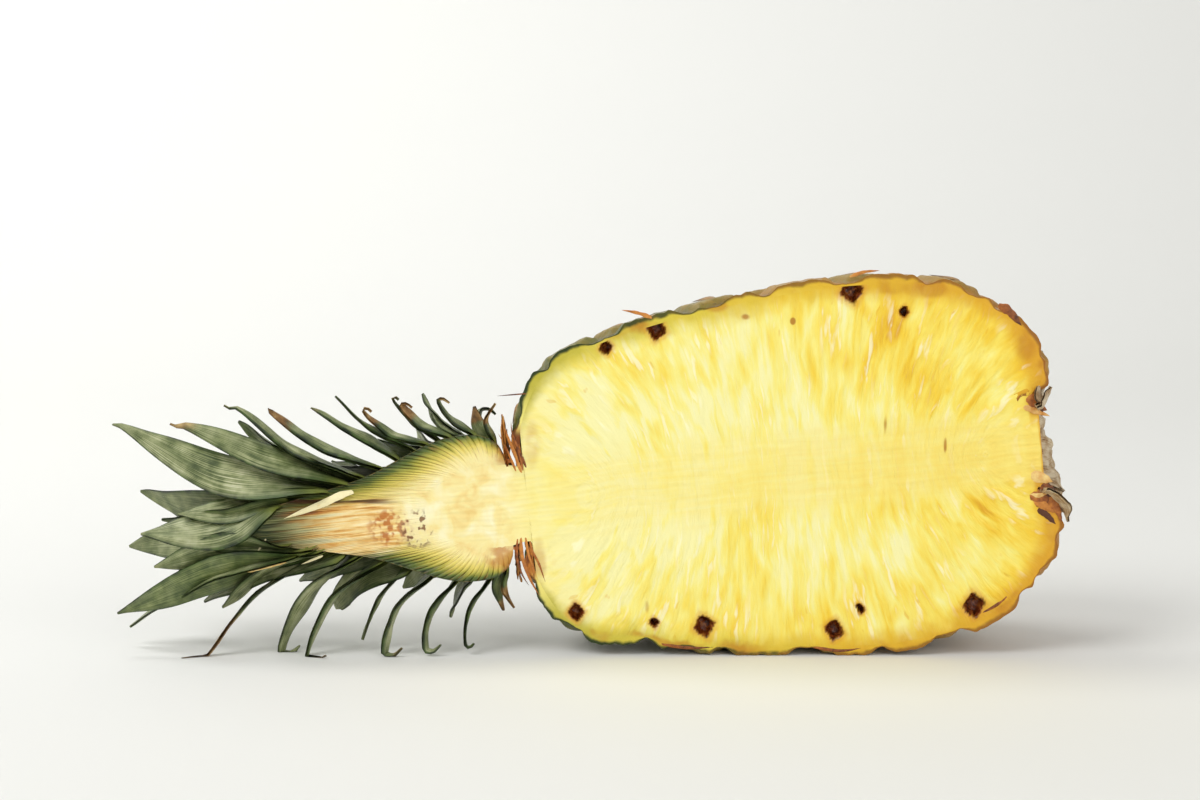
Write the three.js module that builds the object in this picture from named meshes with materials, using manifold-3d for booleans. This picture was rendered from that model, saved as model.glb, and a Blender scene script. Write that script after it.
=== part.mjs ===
// Half of a pineapple, cut lengthwise with a knife through the fruit and its crown.
// It lies on its rind with the cut face upright: +X runs from the crown to the fruit's base,
// the cut face looks along -Y, the rind is behind it, and Z is 0 on the surface it lies on.
// The finished group's origin is the middle of the footprint of its bounding box.
import * as THREE from "three";
import { mergeVertices } from "three/addons/utils/BufferGeometryUtils.js";
import Module from "manifold-3d";

const wasm = await Module();
wasm.setup();

// Driving dimensions, in millimetres and degrees.
const FRUIT_RADIUS = 63; // at the widest, in the plane of the cut
const DEPTH_SHARE = 0.94; // depth behind the cut as a share of that radius
const RIND_THICKNESS = 2.6; // from the middle of the eyes' relief to the flesh
const GAP = 0.35; // between pieces that touch in the real fruit
const FRUIT_TILT = 6.2; // the base end sits higher than the neck
const CROWN_TILT = 5.3;
const NECK = new THREE.Vector3(0, 0, 51.7); // middle of the neck, on the cut face
const NECK_RADIUS = 12.8;
const CORE_END = 174; // where the stalk was cut off, along the fruit's axis
const CORE_SHOULDER = 171.4; // flesh round the core's cut end, under the ring of scales

// Outline of the rind in the plane of the cut: distance from the neck, then radius.
// It starts and ends inside the fruit, so that the rind is open round the neck and the core.
const RIND_OUTLINE = [
  [9, 7],
  [2.5, 12],
  [0, 17],
  [0.2, 24],
  [3.5, 33],
  [9, 41.7],
  [17, 47.7],
  [32, 53],
  [52, 57.4],
  [76, 60.6],
  [98, 62.6],
  [118, FRUIT_RADIUS],
  [138, 60.8],
  [154, 56],
  [166, 47.5],
  [174, 38.2],
  [178, 29.5],
  [178.2, 24],
  [176.5, 20.5],
  [172, 18.6],
  [165, 15.5],
  [158, 9],
];
const FLESH_RUN = [0.085, 0.915]; // the stretch of that outline that the flesh follows
const FLESH_FACETS = 17;
const FLESH_NECK = 2.4; // where the flesh opens out from the neck
const CORE_SEAT = 17.5; // radius of the flat round the core's cut end
const SKIN_ENDS = [12, 156]; // where the skin closes on the axis, inside the fruit
const SIDE_SQUARENESS = 2.25; // exponent of the cross-section: 2 is round
const LYING_SQUARENESS = 4.5; // the same for the quarter that the fruit lies on
const FLAT_BLEND = 1.1; // the flat spot runs out into the round over twice this height
const NECK_LIFT = 3.6; // the underside bends up from the surface by this much towards the neck
const LIFT_RANGE = [36, 64]; // and does so between these distances from the neck

// Eyes stand on the rind in the spiral order of the real fruit.
const GOLDEN_TURN = Math.PI * (3 - Math.sqrt(5));
const STEEP_ROW = 8; // each eye touches the eyes this many places on,
const FLAT_ROW = 13; // and this many
const EYE_RISE = 1.5; // along the rind from one eye to the next in the spiral, at the widest
const EYE_SHRINK = 0.35; // how the rise follows the radius towards both ends
const EYE_TOP = 1.2;
const EYE_GROOVE = 1.3;
const EYE_DIMPLE = 0.5;
const EYE_STEPS = 4; // facets along each side of an eye
const FIRST_BRACT = 22; // the eyes next to the neck and to the core's end have no dry bract
const LAST_BRACT = 26;
// A dry bract's corners: shares of the way to the next eyes, and height over the rind.
const BRACT_LEFT = [0.34, 0.04, -0.5];
const BRACT_RIGHT = [0.04, 0.34, -0.5];
const BRACT_RIDGE = [0.14, 0.14, 2.7];
const BRACT_KEEL = [0.16, 0.16, -1.2];
const BRACT_LENGTH = [0.16, 0.36]; // the shortest and the longest
const BRACT_LIFT = [2.6, 4.4]; // the lowest and the highest tip
const BRACT_FLOOR = 0.3; // nothing of a bract is nearer to the surface

// Leaf bases packed round the crown's stem: distance from the neck, then radius.
const PACK_UNDERSIDE = 4.3;
const PACK_OUTLINE = [
  [PACK_UNDERSIDE - 0.1, 0],
  [PACK_UNDERSIDE - 0.1, 17.5],
  [6.5, 21.5],
  [12, 24.3],
  [20, 24.6],
  [28, 23],
  [38, 19],
  [50, 14],
  [62, 11],
  [76, 8],
  [92, 4.5],
  [102, 0],
];
const CROWN_STEM = 32; // length of the stem, which runs on from the fruit's core
const STEM_OUTLINE = [
  [-4, 0],
  [-4, 12.5],
  [0, NECK_RADIUS],
  [6, 14],
  [13, 13.6],
  [20, 12],
  [26, 9],
  [30.5, 5],
  [CROWN_STEM, 0],
];

// Leaves along the cut, from the neck to the tip of the crown. `from` is where a leaf parts from
// the pack, `tip` is its end as distance from the neck and from the crown's axis, `turn` is how far
// behind the cut it stands, in degrees, `near` is how much of its near half the knife left
// (0 none, -1 all), `twist` turns the blade about its own length on the way to the tip, in degrees,
// `sway` moves the tip to the front (below zero) or back, and `hook` is the length that bends over.
const UPPER_LEAVES = [
  { from: 7, tip: [5, 34.5], width: 9, bow: 0.25, twist: -50 },
  { from: 9, tip: [12.5, 34], width: 8, turn: 14, near: -1, twist: 50 },
  { from: 13, tip: [24, 37.5], width: 13, bow: 0.12, twist: -42, hook: 4 },
  { from: 17, tip: [27, 33], width: 13, turn: 16, near: -1 },
  { from: 21, tip: [36.5, 37], width: 14, bow: 0.14, twist: -45, hook: 3 },
  { from: 25, tip: [39, 39], width: 11, turn: 5, twist: -35 },
  { from: 29, tip: [49, 36.5], width: 14, bow: 0.14, twist: -45 },
  { from: 33, tip: [57.5, 41.7], width: 13, bow: 0.08, twist: -35 },
  { from: 39, tip: [66, 38.5], width: 17, bow: 0.02, twist: -55 },
  { from: 45, tip: [80.5, 39.5], width: 18, bow: 0.09, twist: -45 },
  { from: 51, tip: [91.5, 41], width: 17, bow: 0.09, twist: -45 },
  { from: 57, tip: [110, 36.5], width: 22, bow: 0.05, near: -0.2, twist: -62 },
  { from: 64, tip: [130, 38.5], width: 26, bow: 0.11, near: -0.4, twist: -72 },
];
const LOWER_LEAVES = [
  { from: 7, tip: [5.5, 35], width: 9, bow: 0.2, twist: 50 },
  { from: 8, tip: [9.5, 37.5], width: 12, turn: 10, near: -0.8, twist: 30 },
  { from: 12, tip: [23, 47], width: 12, bow: 0.14, twist: 40, hook: 3 },
  { from: 17, tip: [28, 41], width: 13, turn: 18, near: -1 },
  { from: 23, tip: [37, 47], width: 14, bow: 0.16, twist: 45, hook: 6, sway: -1 },
  { from: 31, tip: [51, 47], width: 15, bow: 0.16, twist: 45, hook: 7, sway: -1.5 },
  { from: 39, tip: [58, 43], width: 12, bow: 0.1, turn: 8, twist: 30 },
  { from: 46, tip: [76.5, 47], width: 16, bow: 0.17, twist: 45, hook: 7, sway: -2 },
  { from: 54, tip: [86, 45], width: 18, bow: 0.15, near: -0.2, turn: 6, twist: 50, hook: 7 },
  { from: 63, tip: [112, 43], width: 11, bow: 0.1, twist: 30, sway: -2, hook: -6 },
  { from: 66, tip: [104, 28], width: 20, turn: 14, near: -0.6, twist: 40 },
  { from: 70, tip: [138, 24.5], width: 26, bow: 0.05, near: -0.5, twist: 66 },
];
// The young leaves in the middle, which stand almost straight: `out` is how far above
// (or, below zero, under) the axis the tip ends.
const MIDDLE_LEAVES = [
  { from: 84, tip: [114, 7], width: 20, near: -0.2, turn: 180, twist: -60 },
  { from: 80, tip: [127, 1.5], width: 26, near: -0.6, turn: 176, twist: -70 },
  { from: 78, tip: [124, 10], width: 24, near: -0.5, turn: 4, twist: 66 },
  { from: 74, tip: [118, 8], width: 18, near: -1, turn: 60 },
  { from: 76, tip: [121, 9], width: 18, near: -1, turn: 120 },
];

// Leaves behind the cut, placed round the stem in the same spiral order as the eyes.
const CROWN_LEAVES = 68; // on the whole crown, before it was cut
const FIRST_LEAF = 7; // where the lowest and the highest part from the pack
const LAST_LEAF = 76;
const CLEAR_OF_CUT = 22; // degrees behind the cut that belong to the leaves listed above
const LEAF_REACH = 40;

const HIDDEN_WIDTH = [12, 15];
const HIDDEN_BOW = [0.06, 0.16];
const HIDDEN_TWIST = 30; // at most, either way
const HIDDEN_HOOK = 5;

const BLADE_STEPS = 5;
const BLADE_ROOT = 1.7; // thickness
const BLADE_TIP = 0.8;
const BLADE_POINT = 0.9; // width of the blunt tip
const BLADE_TAPER = 2.6; // the higher, the later it narrows
const BLADE_CHANNEL = 0.13; // depth of the gutter as a share of the width
const ROOT_DEPTH = 7; // how far a blade's root is sunk along the pack
const LOWEST_ROOT = 6.5; // no blade starts nearer to the neck

// Cups of dead flowers just under the rind, opened by the knife: how far along the fruit's axis,
// how far out from it, and half the cup's size. The first ones are in the upper half.
const FLOWER_CUPS = [
  [33.9, 49, 2.3],
  [51.1, 53.3, 3.5],
  [116.2, 59, 3.9],
  [132.8, 50.1, 1.8],
  [14.4, -38.6, 2.8],
  [39.8, -47.3, 1.8],
  [56.5, -49.2, 3.6],
  [99.8, -55.1, 3.4],
  [108.8, -48.4, 1.9],
  [147.2, -50.6, 3.8],
];
const CUP_DEPTH = 4.5;
const CUP_RIM = [[0, 1.25], [0.9, 0.1], [0.1, -1.1], [-0.85, -0.1]]; // in half sizes, along and out

// The dry ring under the crown and the small dead leaves on it.
const NECK_RING = [[1.7, 0], [1.7, 15.8], [3.9, 16.6], [3.9, 0]];
const NECK_BRACTS = 10;
const NECK_BRACT_WIDTH = 6;
const NECK_BRACT_REACH = [26, 31]; // from the crown's axis
const NECK_BRACT_LEAN = 1.2;
const NECK_BRACT_PATH = [[2.9, 13.8], [3.4, 18], [3.4, 22]];
const NECK_BRACT_TIP = 2.6;

// The ring of dry scales round the core's cut end.
const SCALE_RING = [[172.1, 0], [172.1, 15.6], [176.4, 16.8], [176.4, 0]];
const SCALES = 6;
const SCALE_WIDTH = 12;
const SCALE_REACH = [20, 29]; // from the fruit's axis
const SCALE_STAND = [181, 183.5]; // how far along the axis their tips stand
const SCALE_PATH = [[173.8, 14.4], [178.8, 15.2]];

// Facets round the turned shapes.
const ROUND_SIDES = 32;
const CROWN_SIDES = 28;
const RING_SIDES = 14;

const degrees = THREE.MathUtils.degToRad;
const fruitAxis = new THREE.Vector3(Math.cos(degrees(FRUIT_TILT)), 0, Math.sin(degrees(FRUIT_TILT)));
const fruitUp = new THREE.Vector3(-fruitAxis.z, 0, fruitAxis.x);
const crownAxis = new THREE.Vector3(-Math.cos(degrees(CROWN_TILT)), 0, -Math.sin(degrees(CROWN_TILT)));
const crownUp = new THREE.Vector3(crownAxis.z, 0, -crownAxis.x);
const BEHIND = new THREE.Vector3(0, 1, 0);

// A repeatable draw between 0 and 1.
function draw(index, salt) {
  const value = Math.sin(index * 127.1 + salt * 311.7) * 43758.5453;
  return value - Math.floor(value);
}

// The same between two limits.
function drawBetween([low, high], index, salt) {
  return low + (high - low) * draw(index, salt);
}

// A closed solid from its corners and triangles, turned to face outwards.
function solid(corners, triangles) {
  const geometry = new THREE.BufferGeometry();
  const places = corners.flatMap((corner) => corner.toArray());
  geometry.setAttribute("position", new THREE.Float32BufferAttribute(places, 3));
  geometry.setIndex(triangles.flat());
  const merged = mergeVertices(geometry, 1e-4);
  const { array } = merged.attributes.position;
  const corner = (i) => new THREE.Vector3().fromArray(array, i * 3);
  const kept = [];
  let volume = 0;
  for (let i = 0; i < merged.index.count; i += 3) {
    const [a, b, c] = [0, 1, 2].map((k) => merged.index.array[i + k]);
    if (a === b || b === c || c === a) continue;
    kept.push([a, b, c]);
    volume += corner(a).dot(corner(b).cross(corner(c)));
  }
  const triVerts = new Uint32Array(kept.flatMap(([a, b, c]) => (volume < 0 ? [a, c, b] : [a, b, c])));
  return new wasm.Manifold(new wasm.Mesh({ numProp: 3, vertProperties: array, triVerts }));
}

// A box big enough to take away everything on one side of the cut.
function frontOfCut() {
  const size = 800;
  const box = new THREE.BoxGeometry(size, size, size).translate(0, -size / 2, 0);
  box.deleteAttribute("normal");
  box.deleteAttribute("uv");
  const merged = mergeVertices(box);
  return new wasm.Manifold(
    new wasm.Mesh({
      numProp: 3,
      vertProperties: merged.attributes.position.array,
      triVerts: new Uint32Array(merged.index.array),
    }),
  );
}
const FRONT = frontOfCut();

// Raises what would lie under a level up to it, with a soft run-out.
function settled(height, level) {
  const above = height - level;
  if (above >= FLAT_BLEND) return height;
  if (above <= -FLAT_BLEND) return level;
  return level + (above + FLAT_BLEND) ** 2 / (4 * FLAT_BLEND);
}

// A point of the fruit from its distance along the axis, its radius and its turn from straight
// down through the back. `inset` is how deep it lies under the eyes' middle level, so that each
// layer flattens in step with the others where the fruit lies.
function fruitPoint(along, radius, turn, inset) {
  const up = -Math.cos(turn);
  const back = Math.sin(turn);
  const most = up < 0 ? LYING_SQUARENESS : SIDE_SQUARENESS;
  const power = 2 + (most - 2) * Math.min(1, radius / FRUIT_RADIUS) ** 2;
  const stretch = (Math.abs(up) ** power + Math.abs(back) ** power) ** (-1 / power);
  const point = NECK.clone()
    .addScaledVector(fruitAxis, along)
    .addScaledVector(fruitUp, up * radius * stretch)
    .addScaledVector(BEHIND, back * radius * stretch * DEPTH_SHARE);
  const lift = NECK_LIFT * (1 - THREE.MathUtils.smoothstep(point.x, ...LIFT_RANGE));
  point.z = settled(point.z, EYE_TOP + inset + lift);
  return point;
}

// A point of the crown from its distance from the neck, its distance from the crown's axis and
// its turn from straight down through the back.
function crownPoint(along, out, turn) {
  return NECK.clone()
    .addScaledVector(crownAxis, along)
    .addScaledVector(crownUp, -Math.cos(turn) * out)
    .addScaledVector(BEHIND, Math.sin(turn) * out);
}

const rindCurve = new THREE.SplineCurve(RIND_OUTLINE.map((corner) => new THREE.Vector2(...corner)));
rindCurve.arcLengthDivisions = 800;

// A point on the rind: share of the outline's length, turn round the axis, depth below the surface.
function rindPoint(share, turn, inset) {
  const middle = rindCurve.getPointAt(share);
  const tangent = rindCurve.getTangentAt(share);
  return fruitPoint(middle.x + inset * tangent.y, middle.y - inset * tangent.x, turn, inset);
}

// Solid of revolution about the fruit's or the crown's axis: the outline starts and ends on it.
function turned(outline, place, sides) {
  const corners = [];
  const triangles = [];
  outline.forEach(([along, radius]) => {
    for (let k = 0; k < sides; k++) corners.push(place(along, radius, (2 * Math.PI * k) / sides));
  });
  for (let ring = 0; ring + 1 < outline.length; ring++)
    for (let k = 0; k < sides; k++) {
      const here = ring * sides + k;
      const next = ring * sides + ((k + 1) % sides);
      triangles.push([here, next, next + sides], [here, next + sides, here + sides]);
    }
  return solid(corners, triangles);
}

// Where the eyes stand: the spiral's place number against the share of the outline.
function eyePlaces() {
  const samples = 1200;
  const length = rindCurve.getLength();
  const shares = [0];
  let place = 0;
  const places = [0];
  for (let k = 1; k <= samples; k++) {
    const share = k / samples;
    const radius = rindCurve.getPointAt(share).y;
    place += length / samples / (EYE_RISE * (radius / FRUIT_RADIUS) ** EYE_SHRINK);
    shares.push(share);
    places.push(place);
  }
  return { shares, places, count: Math.floor(place) };
}
const EYES = eyePlaces();

function shareOfPlace(place) {
  const { shares, places } = EYES;
  let low = 0;
  let high = places.length - 1;
  while (high - low > 1) {
    const middle = (low + high) >> 1;
    if (places[middle] <= place) low = middle;
    else high = middle;
  }
  const part = (place - places[low]) / (places[high] - places[low]);
  return THREE.MathUtils.clamp(shares[low] + part * (shares[high] - shares[low]), 0, 1);
}

// Turn between eyes that touch, the short way round.
function rowTurn(row) {
  const turn = row * GOLDEN_TURN;
  return turn - 2 * Math.PI * Math.round(turn / (2 * Math.PI));
}

// A point on eye number `eye`, `steep` and `flat` of the way to its neighbours in the two rows,
// `height` above the rind's middle level.
function eyePoint(eye, steep, flat, height) {
  const place = THREE.MathUtils.clamp(eye + steep * STEEP_ROW + flat * FLAT_ROW, 0, EYES.count);
  const turn = eye * GOLDEN_TURN + steep * rowTurn(STEEP_ROW) + flat * rowTurn(FLAT_ROW);
  const share = shareOfPlace(place);
  const size = eyeSize(share);
  return rindPoint(share, turn, -height * size);
}

// Eyes get smaller and flatter towards both ends.
function eyeSize(share) {
  return Math.min(1, rindCurve.getPointAt(share).y / (0.7 * FRUIT_RADIUS));
}

// Height of the rind across one eye: a dimple, a raised rim and a groove to the next eye.
function eyeRelief(steep, flat) {
  const edge = 2 * Math.max(Math.abs(steep - Math.round(steep)), Math.abs(flat - Math.round(flat)));
  if (edge < 0.25) return EYE_TOP - EYE_DIMPLE;
  return edge > 0.75 ? -EYE_GROOVE : EYE_TOP;
}

// The whole fruit's skin: four-sided cells that run along the two rows of eyes, closed inside
// the neck and inside the base by a fan to the axis.
function skinSolid() {
  const corners = [];
  const triangles = [];
  const open = new Map();
  const number = new Map();
  const cornerAt = (eye, p, q) => {
    const point = eyePoint(eye, p / EYE_STEPS, q / EYE_STEPS, eyeRelief(p / EYE_STEPS, q / EYE_STEPS));
    const key = point.toArray().map((v) => v.toFixed(3)).join();
    if (!number.has(key)) {
      number.set(key, corners.length);
      corners.push(point);
    }
    return number.get(key);
  };
  const addTriangle = (a, b, c) => {
    triangles.push([a, b, c]);
    [[a, b], [b, c], [c, a]].forEach(([from, to]) => {
      if (!open.delete(`${to},${from}`)) open.set(`${from},${to}`, [from, to]);
    });
  };
  for (let eye = 0; eye + STEEP_ROW + FLAT_ROW <= EYES.count; eye++)
    for (let p = 0; p < EYE_STEPS; p++)
      for (let q = 0; q < EYE_STEPS; q++) {
        const [a, b, c, d] = [
          cornerAt(eye, p, q),
          cornerAt(eye, p + 1, q),
          cornerAt(eye, p + 1, q + 1),
          cornerAt(eye, p, q + 1),
        ];
        addTriangle(a, b, c);
        addTriangle(a, c, d);
      }
  const ends = SKIN_ENDS.map((along) => fruitPoint(along, 0, 0, 0));
  const first = corners.push(ends[0]) - 1;
  const last = corners.push(ends[1]) - 1;
  [...open.values()].forEach(([from, to]) => {
    const nearNeck = corners[from].distanceTo(ends[0]) < corners[from].distanceTo(ends[1]);
    triangles.push([to, from, nearNeck ? first : last]);
  });
  return solid(corners, triangles);
}

// The dry bract of one eye: rooted on the base side of it, with its tip raised over the middle
// and pointing to the crown.
function bractCorners(eye) {
  const length = drawBetween(BRACT_LENGTH, eye, 1);
  const lift = drawBetween(BRACT_LIFT, eye, 2);
  const shape = [BRACT_LEFT, BRACT_RIGHT, [-length, -length, lift], BRACT_RIDGE, BRACT_KEEL];
  return shape.map((corner) => eyePoint(eye, ...corner));
}

function bract(corners) {
  const [left, right, tip, ridge, keel] = [0, 1, 2, 3, 4];
  return solid(corners, [
    [left, tip, ridge],
    [tip, right, ridge],
    [right, left, ridge],
    [tip, left, keel],
    [right, tip, keel],
    [left, right, keel],
  ]);
}

function bracts() {
  const made = [];
  for (let eye = FIRST_BRACT; eye < EYES.count - LAST_BRACT; eye++) {
    const corners = bractCorners(eye);
    const clear = corners.every((corner) => corner.z > BRACT_FLOOR);
    if (clear && corners[2].y > 1) made.push(bract(corners));
  }
  return made;
}

// The flesh with the core that runs through it. `grow` is the room round it; where the stem and
// the core's cut end go on through the rind, that room is `open` and goes further.
function fleshSolid(grow) {
  const open = { neck: grow * 6, base: grow * 12 };
  const inset = RIND_THICKNESS - grow;
  const outline = [
    [-open.neck, 0],
    [-open.neck, NECK_RADIUS + grow],
    [FLESH_NECK - grow, NECK_RADIUS + grow],
  ];
  for (let k = 0; k <= FLESH_FACETS; k++) {
    const share = THREE.MathUtils.lerp(...FLESH_RUN, k / FLESH_FACETS);
    const middle = rindCurve.getPointAt(share);
    const tangent = rindCurve.getTangentAt(share);
    outline.push([middle.x + inset * tangent.y, middle.y - inset * tangent.x]);
  }
  outline.push(
    [CORE_SHOULDER + grow, CORE_SEAT],
    [CORE_SHOULDER + grow, NECK_RADIUS + grow],
    [CORE_END + open.base, NECK_RADIUS + grow],
    [CORE_END + open.base, 0],
  );
  return turned(outline, (along, radius, turn) => fruitPoint(along, radius, turn, inset), ROUND_SIDES);
}

// A four-sided pit with its point away from the cut.
function flowerCup([along, out, half]) {
  const centre = NECK.clone().addScaledVector(fruitAxis, along).addScaledVector(fruitUp, out);
  const corners = CUP_RIM.map(([a, u]) =>
    centre
      .clone()
      .addScaledVector(fruitAxis, a * half)
      .addScaledVector(fruitUp, u * half)
      .addScaledVector(BEHIND, -1),
  );
  corners.push(centre.clone().addScaledVector(BEHIND, CUP_DEPTH));
  return solid(corners, [
    [0, 1, 2],
    [0, 2, 3],
    [0, 4, 1],
    [1, 4, 2],
    [2, 4, 3],
    [3, 4, 0],
  ]);
}

const packCurve = (along) => {
  const after = PACK_OUTLINE.findIndex(([a]) => a > along);
  if (after < 1) return 0;
  const [a0, r0] = PACK_OUTLINE[after - 1];
  const [a1, r1] = PACK_OUTLINE[after];
  return r0 + ((along - a0) / (a1 - a0)) * (r1 - r0);
};

// A channelled blade along a curve. `across` points over its width, away from the knife, and
// `outward` to its outer face; a ring that would reach under the surface is lifted onto it.
function blade(curve, across, outward, { width, near = -1, twist = 0, steps = BLADE_STEPS }) {
  const ribs = [near, (near + 1) / 2, 1];
  const corners = [];
  const triangles = [];
  for (let k = 0; k <= steps; k++) {
    const t = k / steps;
    const centre = curve.getPointAt(t);
    const tangent = curve.getTangentAt(t);
    const side = across.clone().addScaledVector(tangent, -across.dot(tangent)).normalize();
    side.applyAxisAngle(tangent, degrees(twist) * THREE.MathUtils.smoothstep(t, 0.1, 0.7));
    const face = new THREE.Vector3().crossVectors(side, tangent).multiplyScalar(outward);
    const span = 0.5 * (width * Math.min(1, 0.75 + 0.9 * t) * (1 - t ** BLADE_TAPER) + BLADE_POINT);
    const half = THREE.MathUtils.lerp(BLADE_ROOT, BLADE_TIP, t) / 2;
    const ring = [1, -1].flatMap((sign) =>
      ribs.map((v) =>
        centre
          .clone()
          .addScaledVector(side, v * span)
          .addScaledVector(face, sign * half - BLADE_CHANNEL * 2 * span * v * v),
      ),
    );
    const under = Math.min(...ring.map((c) => c.z));
    if (under < 0) ring.forEach((c) => (c.z -= under));
    corners.push(...ring);
  }
  // Pairs of neighbouring corners round a ring; both faces are split along the same diagonal.
  const pairs = [[0, 1], [1, 2], [2, 5], [4, 5], [3, 4], [3, 0]];
  for (let k = 0; k < steps; k++)
    pairs.forEach(([from, to], n) => {
      const [a, b] = [k * 6 + from, k * 6 + to];
      const inner = n === 3 || n === 4;
      triangles.push(inner ? [a, b + 6, b] : [a, b, b + 6], inner ? [a, a + 6, b + 6] : [a, b + 6, a + 6]);
    });
  const end = steps * 6;
  triangles.push([0, 3, 4], [0, 4, 1], [1, 4, 5], [1, 5, 2]);
  triangles.push([end, end + 4, end + 3], [end, end + 1, end + 4]);
  triangles.push([end + 1, end + 5, end + 4], [end + 1, end + 2, end + 5]);
  return solid(corners, triangles);
}

// One leaf of the crown. `turn` is its angle from straight down through the back, in radians.
function leaf(turn, shape) {
  const { from, tip, width, bow = 0.08, near = 0, twist = 0 } = shape;
  const { sway = 0, hook = 0, steps = BLADE_STEPS } = shape;
  const exit = [from, packCurve(from) - 0.6];
  const run = [tip[0] - exit[0], tip[1] - exit[1]];
  const path = [
    [Math.max(LOWEST_ROOT, from - ROOT_DEPTH), exit[1] * 0.62],
    exit,
    [exit[0] + 0.5 * run[0] + bow * run[1], exit[1] + 0.5 * run[1] - bow * run[0]],
    tip,
  ];
  if (hook) path.push([tip[0] - 0.5 * hook, tip[1] + 0.1 * hook], [tip[0] - hook, tip[1] - 0.35 * hook]);
  const points = path.map(([along, out], k) =>
    crownPoint(along, out, turn).addScaledVector(BEHIND, sway * Math.max(0, (k - 1) / 2)),
  );
  const curve = new THREE.CatmullRomCurve3(points);
  const radial = crownPoint(0, 1, turn).sub(NECK);
  const across = new THREE.Vector3().crossVectors(crownAxis, radial);
  if (across.y < 0) across.negate();
  const outward = Math.sign(new THREE.Vector3().crossVectors(across, crownAxis).dot(radial));
  return blade(curve, across, outward, { width, near, twist, steps: hook ? steps + 2 : steps });
}

// Leaves behind the cut: the lower a leaf stands, the shorter it is and the further it spreads.
function hiddenLeaves() {
  const made = [];
  for (let k = 0; k < CROWN_LEAVES; k++) {
    const turn = (k * GOLDEN_TURN) % (2 * Math.PI);
    const clear = degrees(CLEAR_OF_CUT);
    if (turn < clear || turn > Math.PI - clear) continue;
    const from = THREE.MathUtils.lerp(FIRST_LEAF, LAST_LEAF, k / (CROWN_LEAVES - 1));
    const stray = [8 * (draw(k, 3) - 0.5), 8 * (draw(k, 4) - 0.5)];
    const tip = [1.9 * from - 2 + stray[0], LEAF_REACH + stray[1] - 0.1 * from];
    made.push(
      leaf(turn, {
        from,
        tip,
        width: 0.1 * from + drawBetween(HIDDEN_WIDTH, k, 5),
        bow: drawBetween(HIDDEN_BOW, k, 6),
        near: -1,
        twist: drawBetween([-HIDDEN_TWIST, HIDDEN_TWIST], k, 7),
        hook: draw(k, 8) > 0.6 ? HIDDEN_HOOK : 0,
        steps: BLADE_STEPS - 1,
      }),
    );
  }
  return made;
}

// Leaves along the cut, which the knife has sliced, and the young ones in the middle.
function cutLeaves() {
  return [
    ...UPPER_LEAVES.map((l) => leaf(Math.PI - degrees(l.turn ?? 0), l)),
    ...LOWER_LEAVES.map((l) => leaf(degrees(l.turn ?? 0), l)),
    ...MIDDLE_LEAVES.map((l) => leaf(degrees(l.turn), l)),
  ];
}

function stemSolid(grow) {
  const outline = STEM_OUTLINE.map(([along, radius]) => [
    along + (grow * along) / CROWN_STEM,
    radius + (radius > 0 ? grow : 0),
  ]);
  return turned(outline, crownPoint, CROWN_SIDES);
}

function crownLeaves() {
  const pack = turned(PACK_OUTLINE, crownPoint, CROWN_SIDES);
  const behind = wasm.Manifold.union([pack, ...hiddenLeaves()]).subtract(FRONT);
  return wasm.Manifold.union([behind, ...cutLeaves()])
    .subtract(stemSolid(GAP))
    .subtract(fruitSide(PACK_UNDERSIDE));
}

// Everything on the fruit's side of a level across the crown's axis.
function fruitSide(along) {
  const far = 90;
  const outline = [[-far, 0], [-far, far], [along, far], [along, 0]];
  return turned(outline, crownPoint, RING_SIDES);
}

// Where a blade on a ring points: `axis` is the ring's, `spoke` runs out from it to the blade.
function acrossBlade(axis, spoke) {
  const across = new THREE.Vector3().crossVectors(axis, spoke.sub(NECK));
  return across.y < 0 ? across.negate() : across;
}

// Small dead leaves in the groove between the fruit and the crown, on one dry ring.
function neckBracts() {
  const ring = turned(NECK_RING, crownPoint, RING_SIDES);
  const blades = [];
  for (let k = 0; k < NECK_BRACTS; k++) {
    const turn = (Math.PI * (k + 0.5 * draw(k, 11))) / (NECK_BRACTS - 0.5);
    const reach = drawBetween(NECK_BRACT_REACH, k, 12);
    const tip = [NECK_BRACT_TIP + NECK_BRACT_LEAN * draw(k, 13), reach];
    const points = [...NECK_BRACT_PATH, tip].map(([along, out]) => crownPoint(along, out, turn));
    const across = acrossBlade(crownAxis, crownPoint(0, 1, turn));
    const sliced = k === 0 || k === NECK_BRACTS - 1;
    const shape = { width: NECK_BRACT_WIDTH, near: sliced ? 0 : -1, steps: 2 };
    blades.push(blade(new THREE.CatmullRomCurve3(points), across, 1, shape));
  }
  return wasm.Manifold.union([ring, ...blades])
    .subtract(FRONT)
    .subtract(stemSolid(GAP))
    .intersect(fruitSide(PACK_UNDERSIDE - GAP));
}

// Dry scales round the cut end of the core, on the sunken base of the fruit.
function baseScales() {
  const seat = (along, radius, turn) => fruitPoint(along, radius, turn, RIND_THICKNESS);
  const ring = turned(SCALE_RING, seat, RING_SIDES);
  const blades = [];
  for (let k = 0; k < SCALES; k++) {
    const turn = (Math.PI * (k + 0.6 * draw(k, 21))) / (SCALES - 0.4);
    const reach = drawBetween(SCALE_REACH, k, 22);
    const stand = drawBetween(SCALE_STAND, k, 23);
    const path = [...SCALE_PATH, [stand - 0.6, (reach + 15) / 2], [stand, reach]];
    const points = path.map(([along, radius]) => fruitPoint(along, radius, turn, 0));
    const across = acrossBlade(fruitAxis, fruitPoint(0, 1, turn, 0));
    blades.push(blade(new THREE.CatmullRomCurve3(points), across, 1, { width: SCALE_WIDTH, steps: 3 }));
  }
  return wasm.Manifold.union([ring, ...blades]).subtract(FRONT).subtract(coreEnd());
}

// The room that the core's cut end takes in the ring of scales.
function coreEnd() {
  const radius = NECK_RADIUS + GAP;
  const outline = [[150, 0], [150, radius], [190, radius], [190, 0]];
  return turned(outline, (along, out, turn) => fruitPoint(along, out, turn, RIND_THICKNESS), ROUND_SIDES);
}

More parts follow.
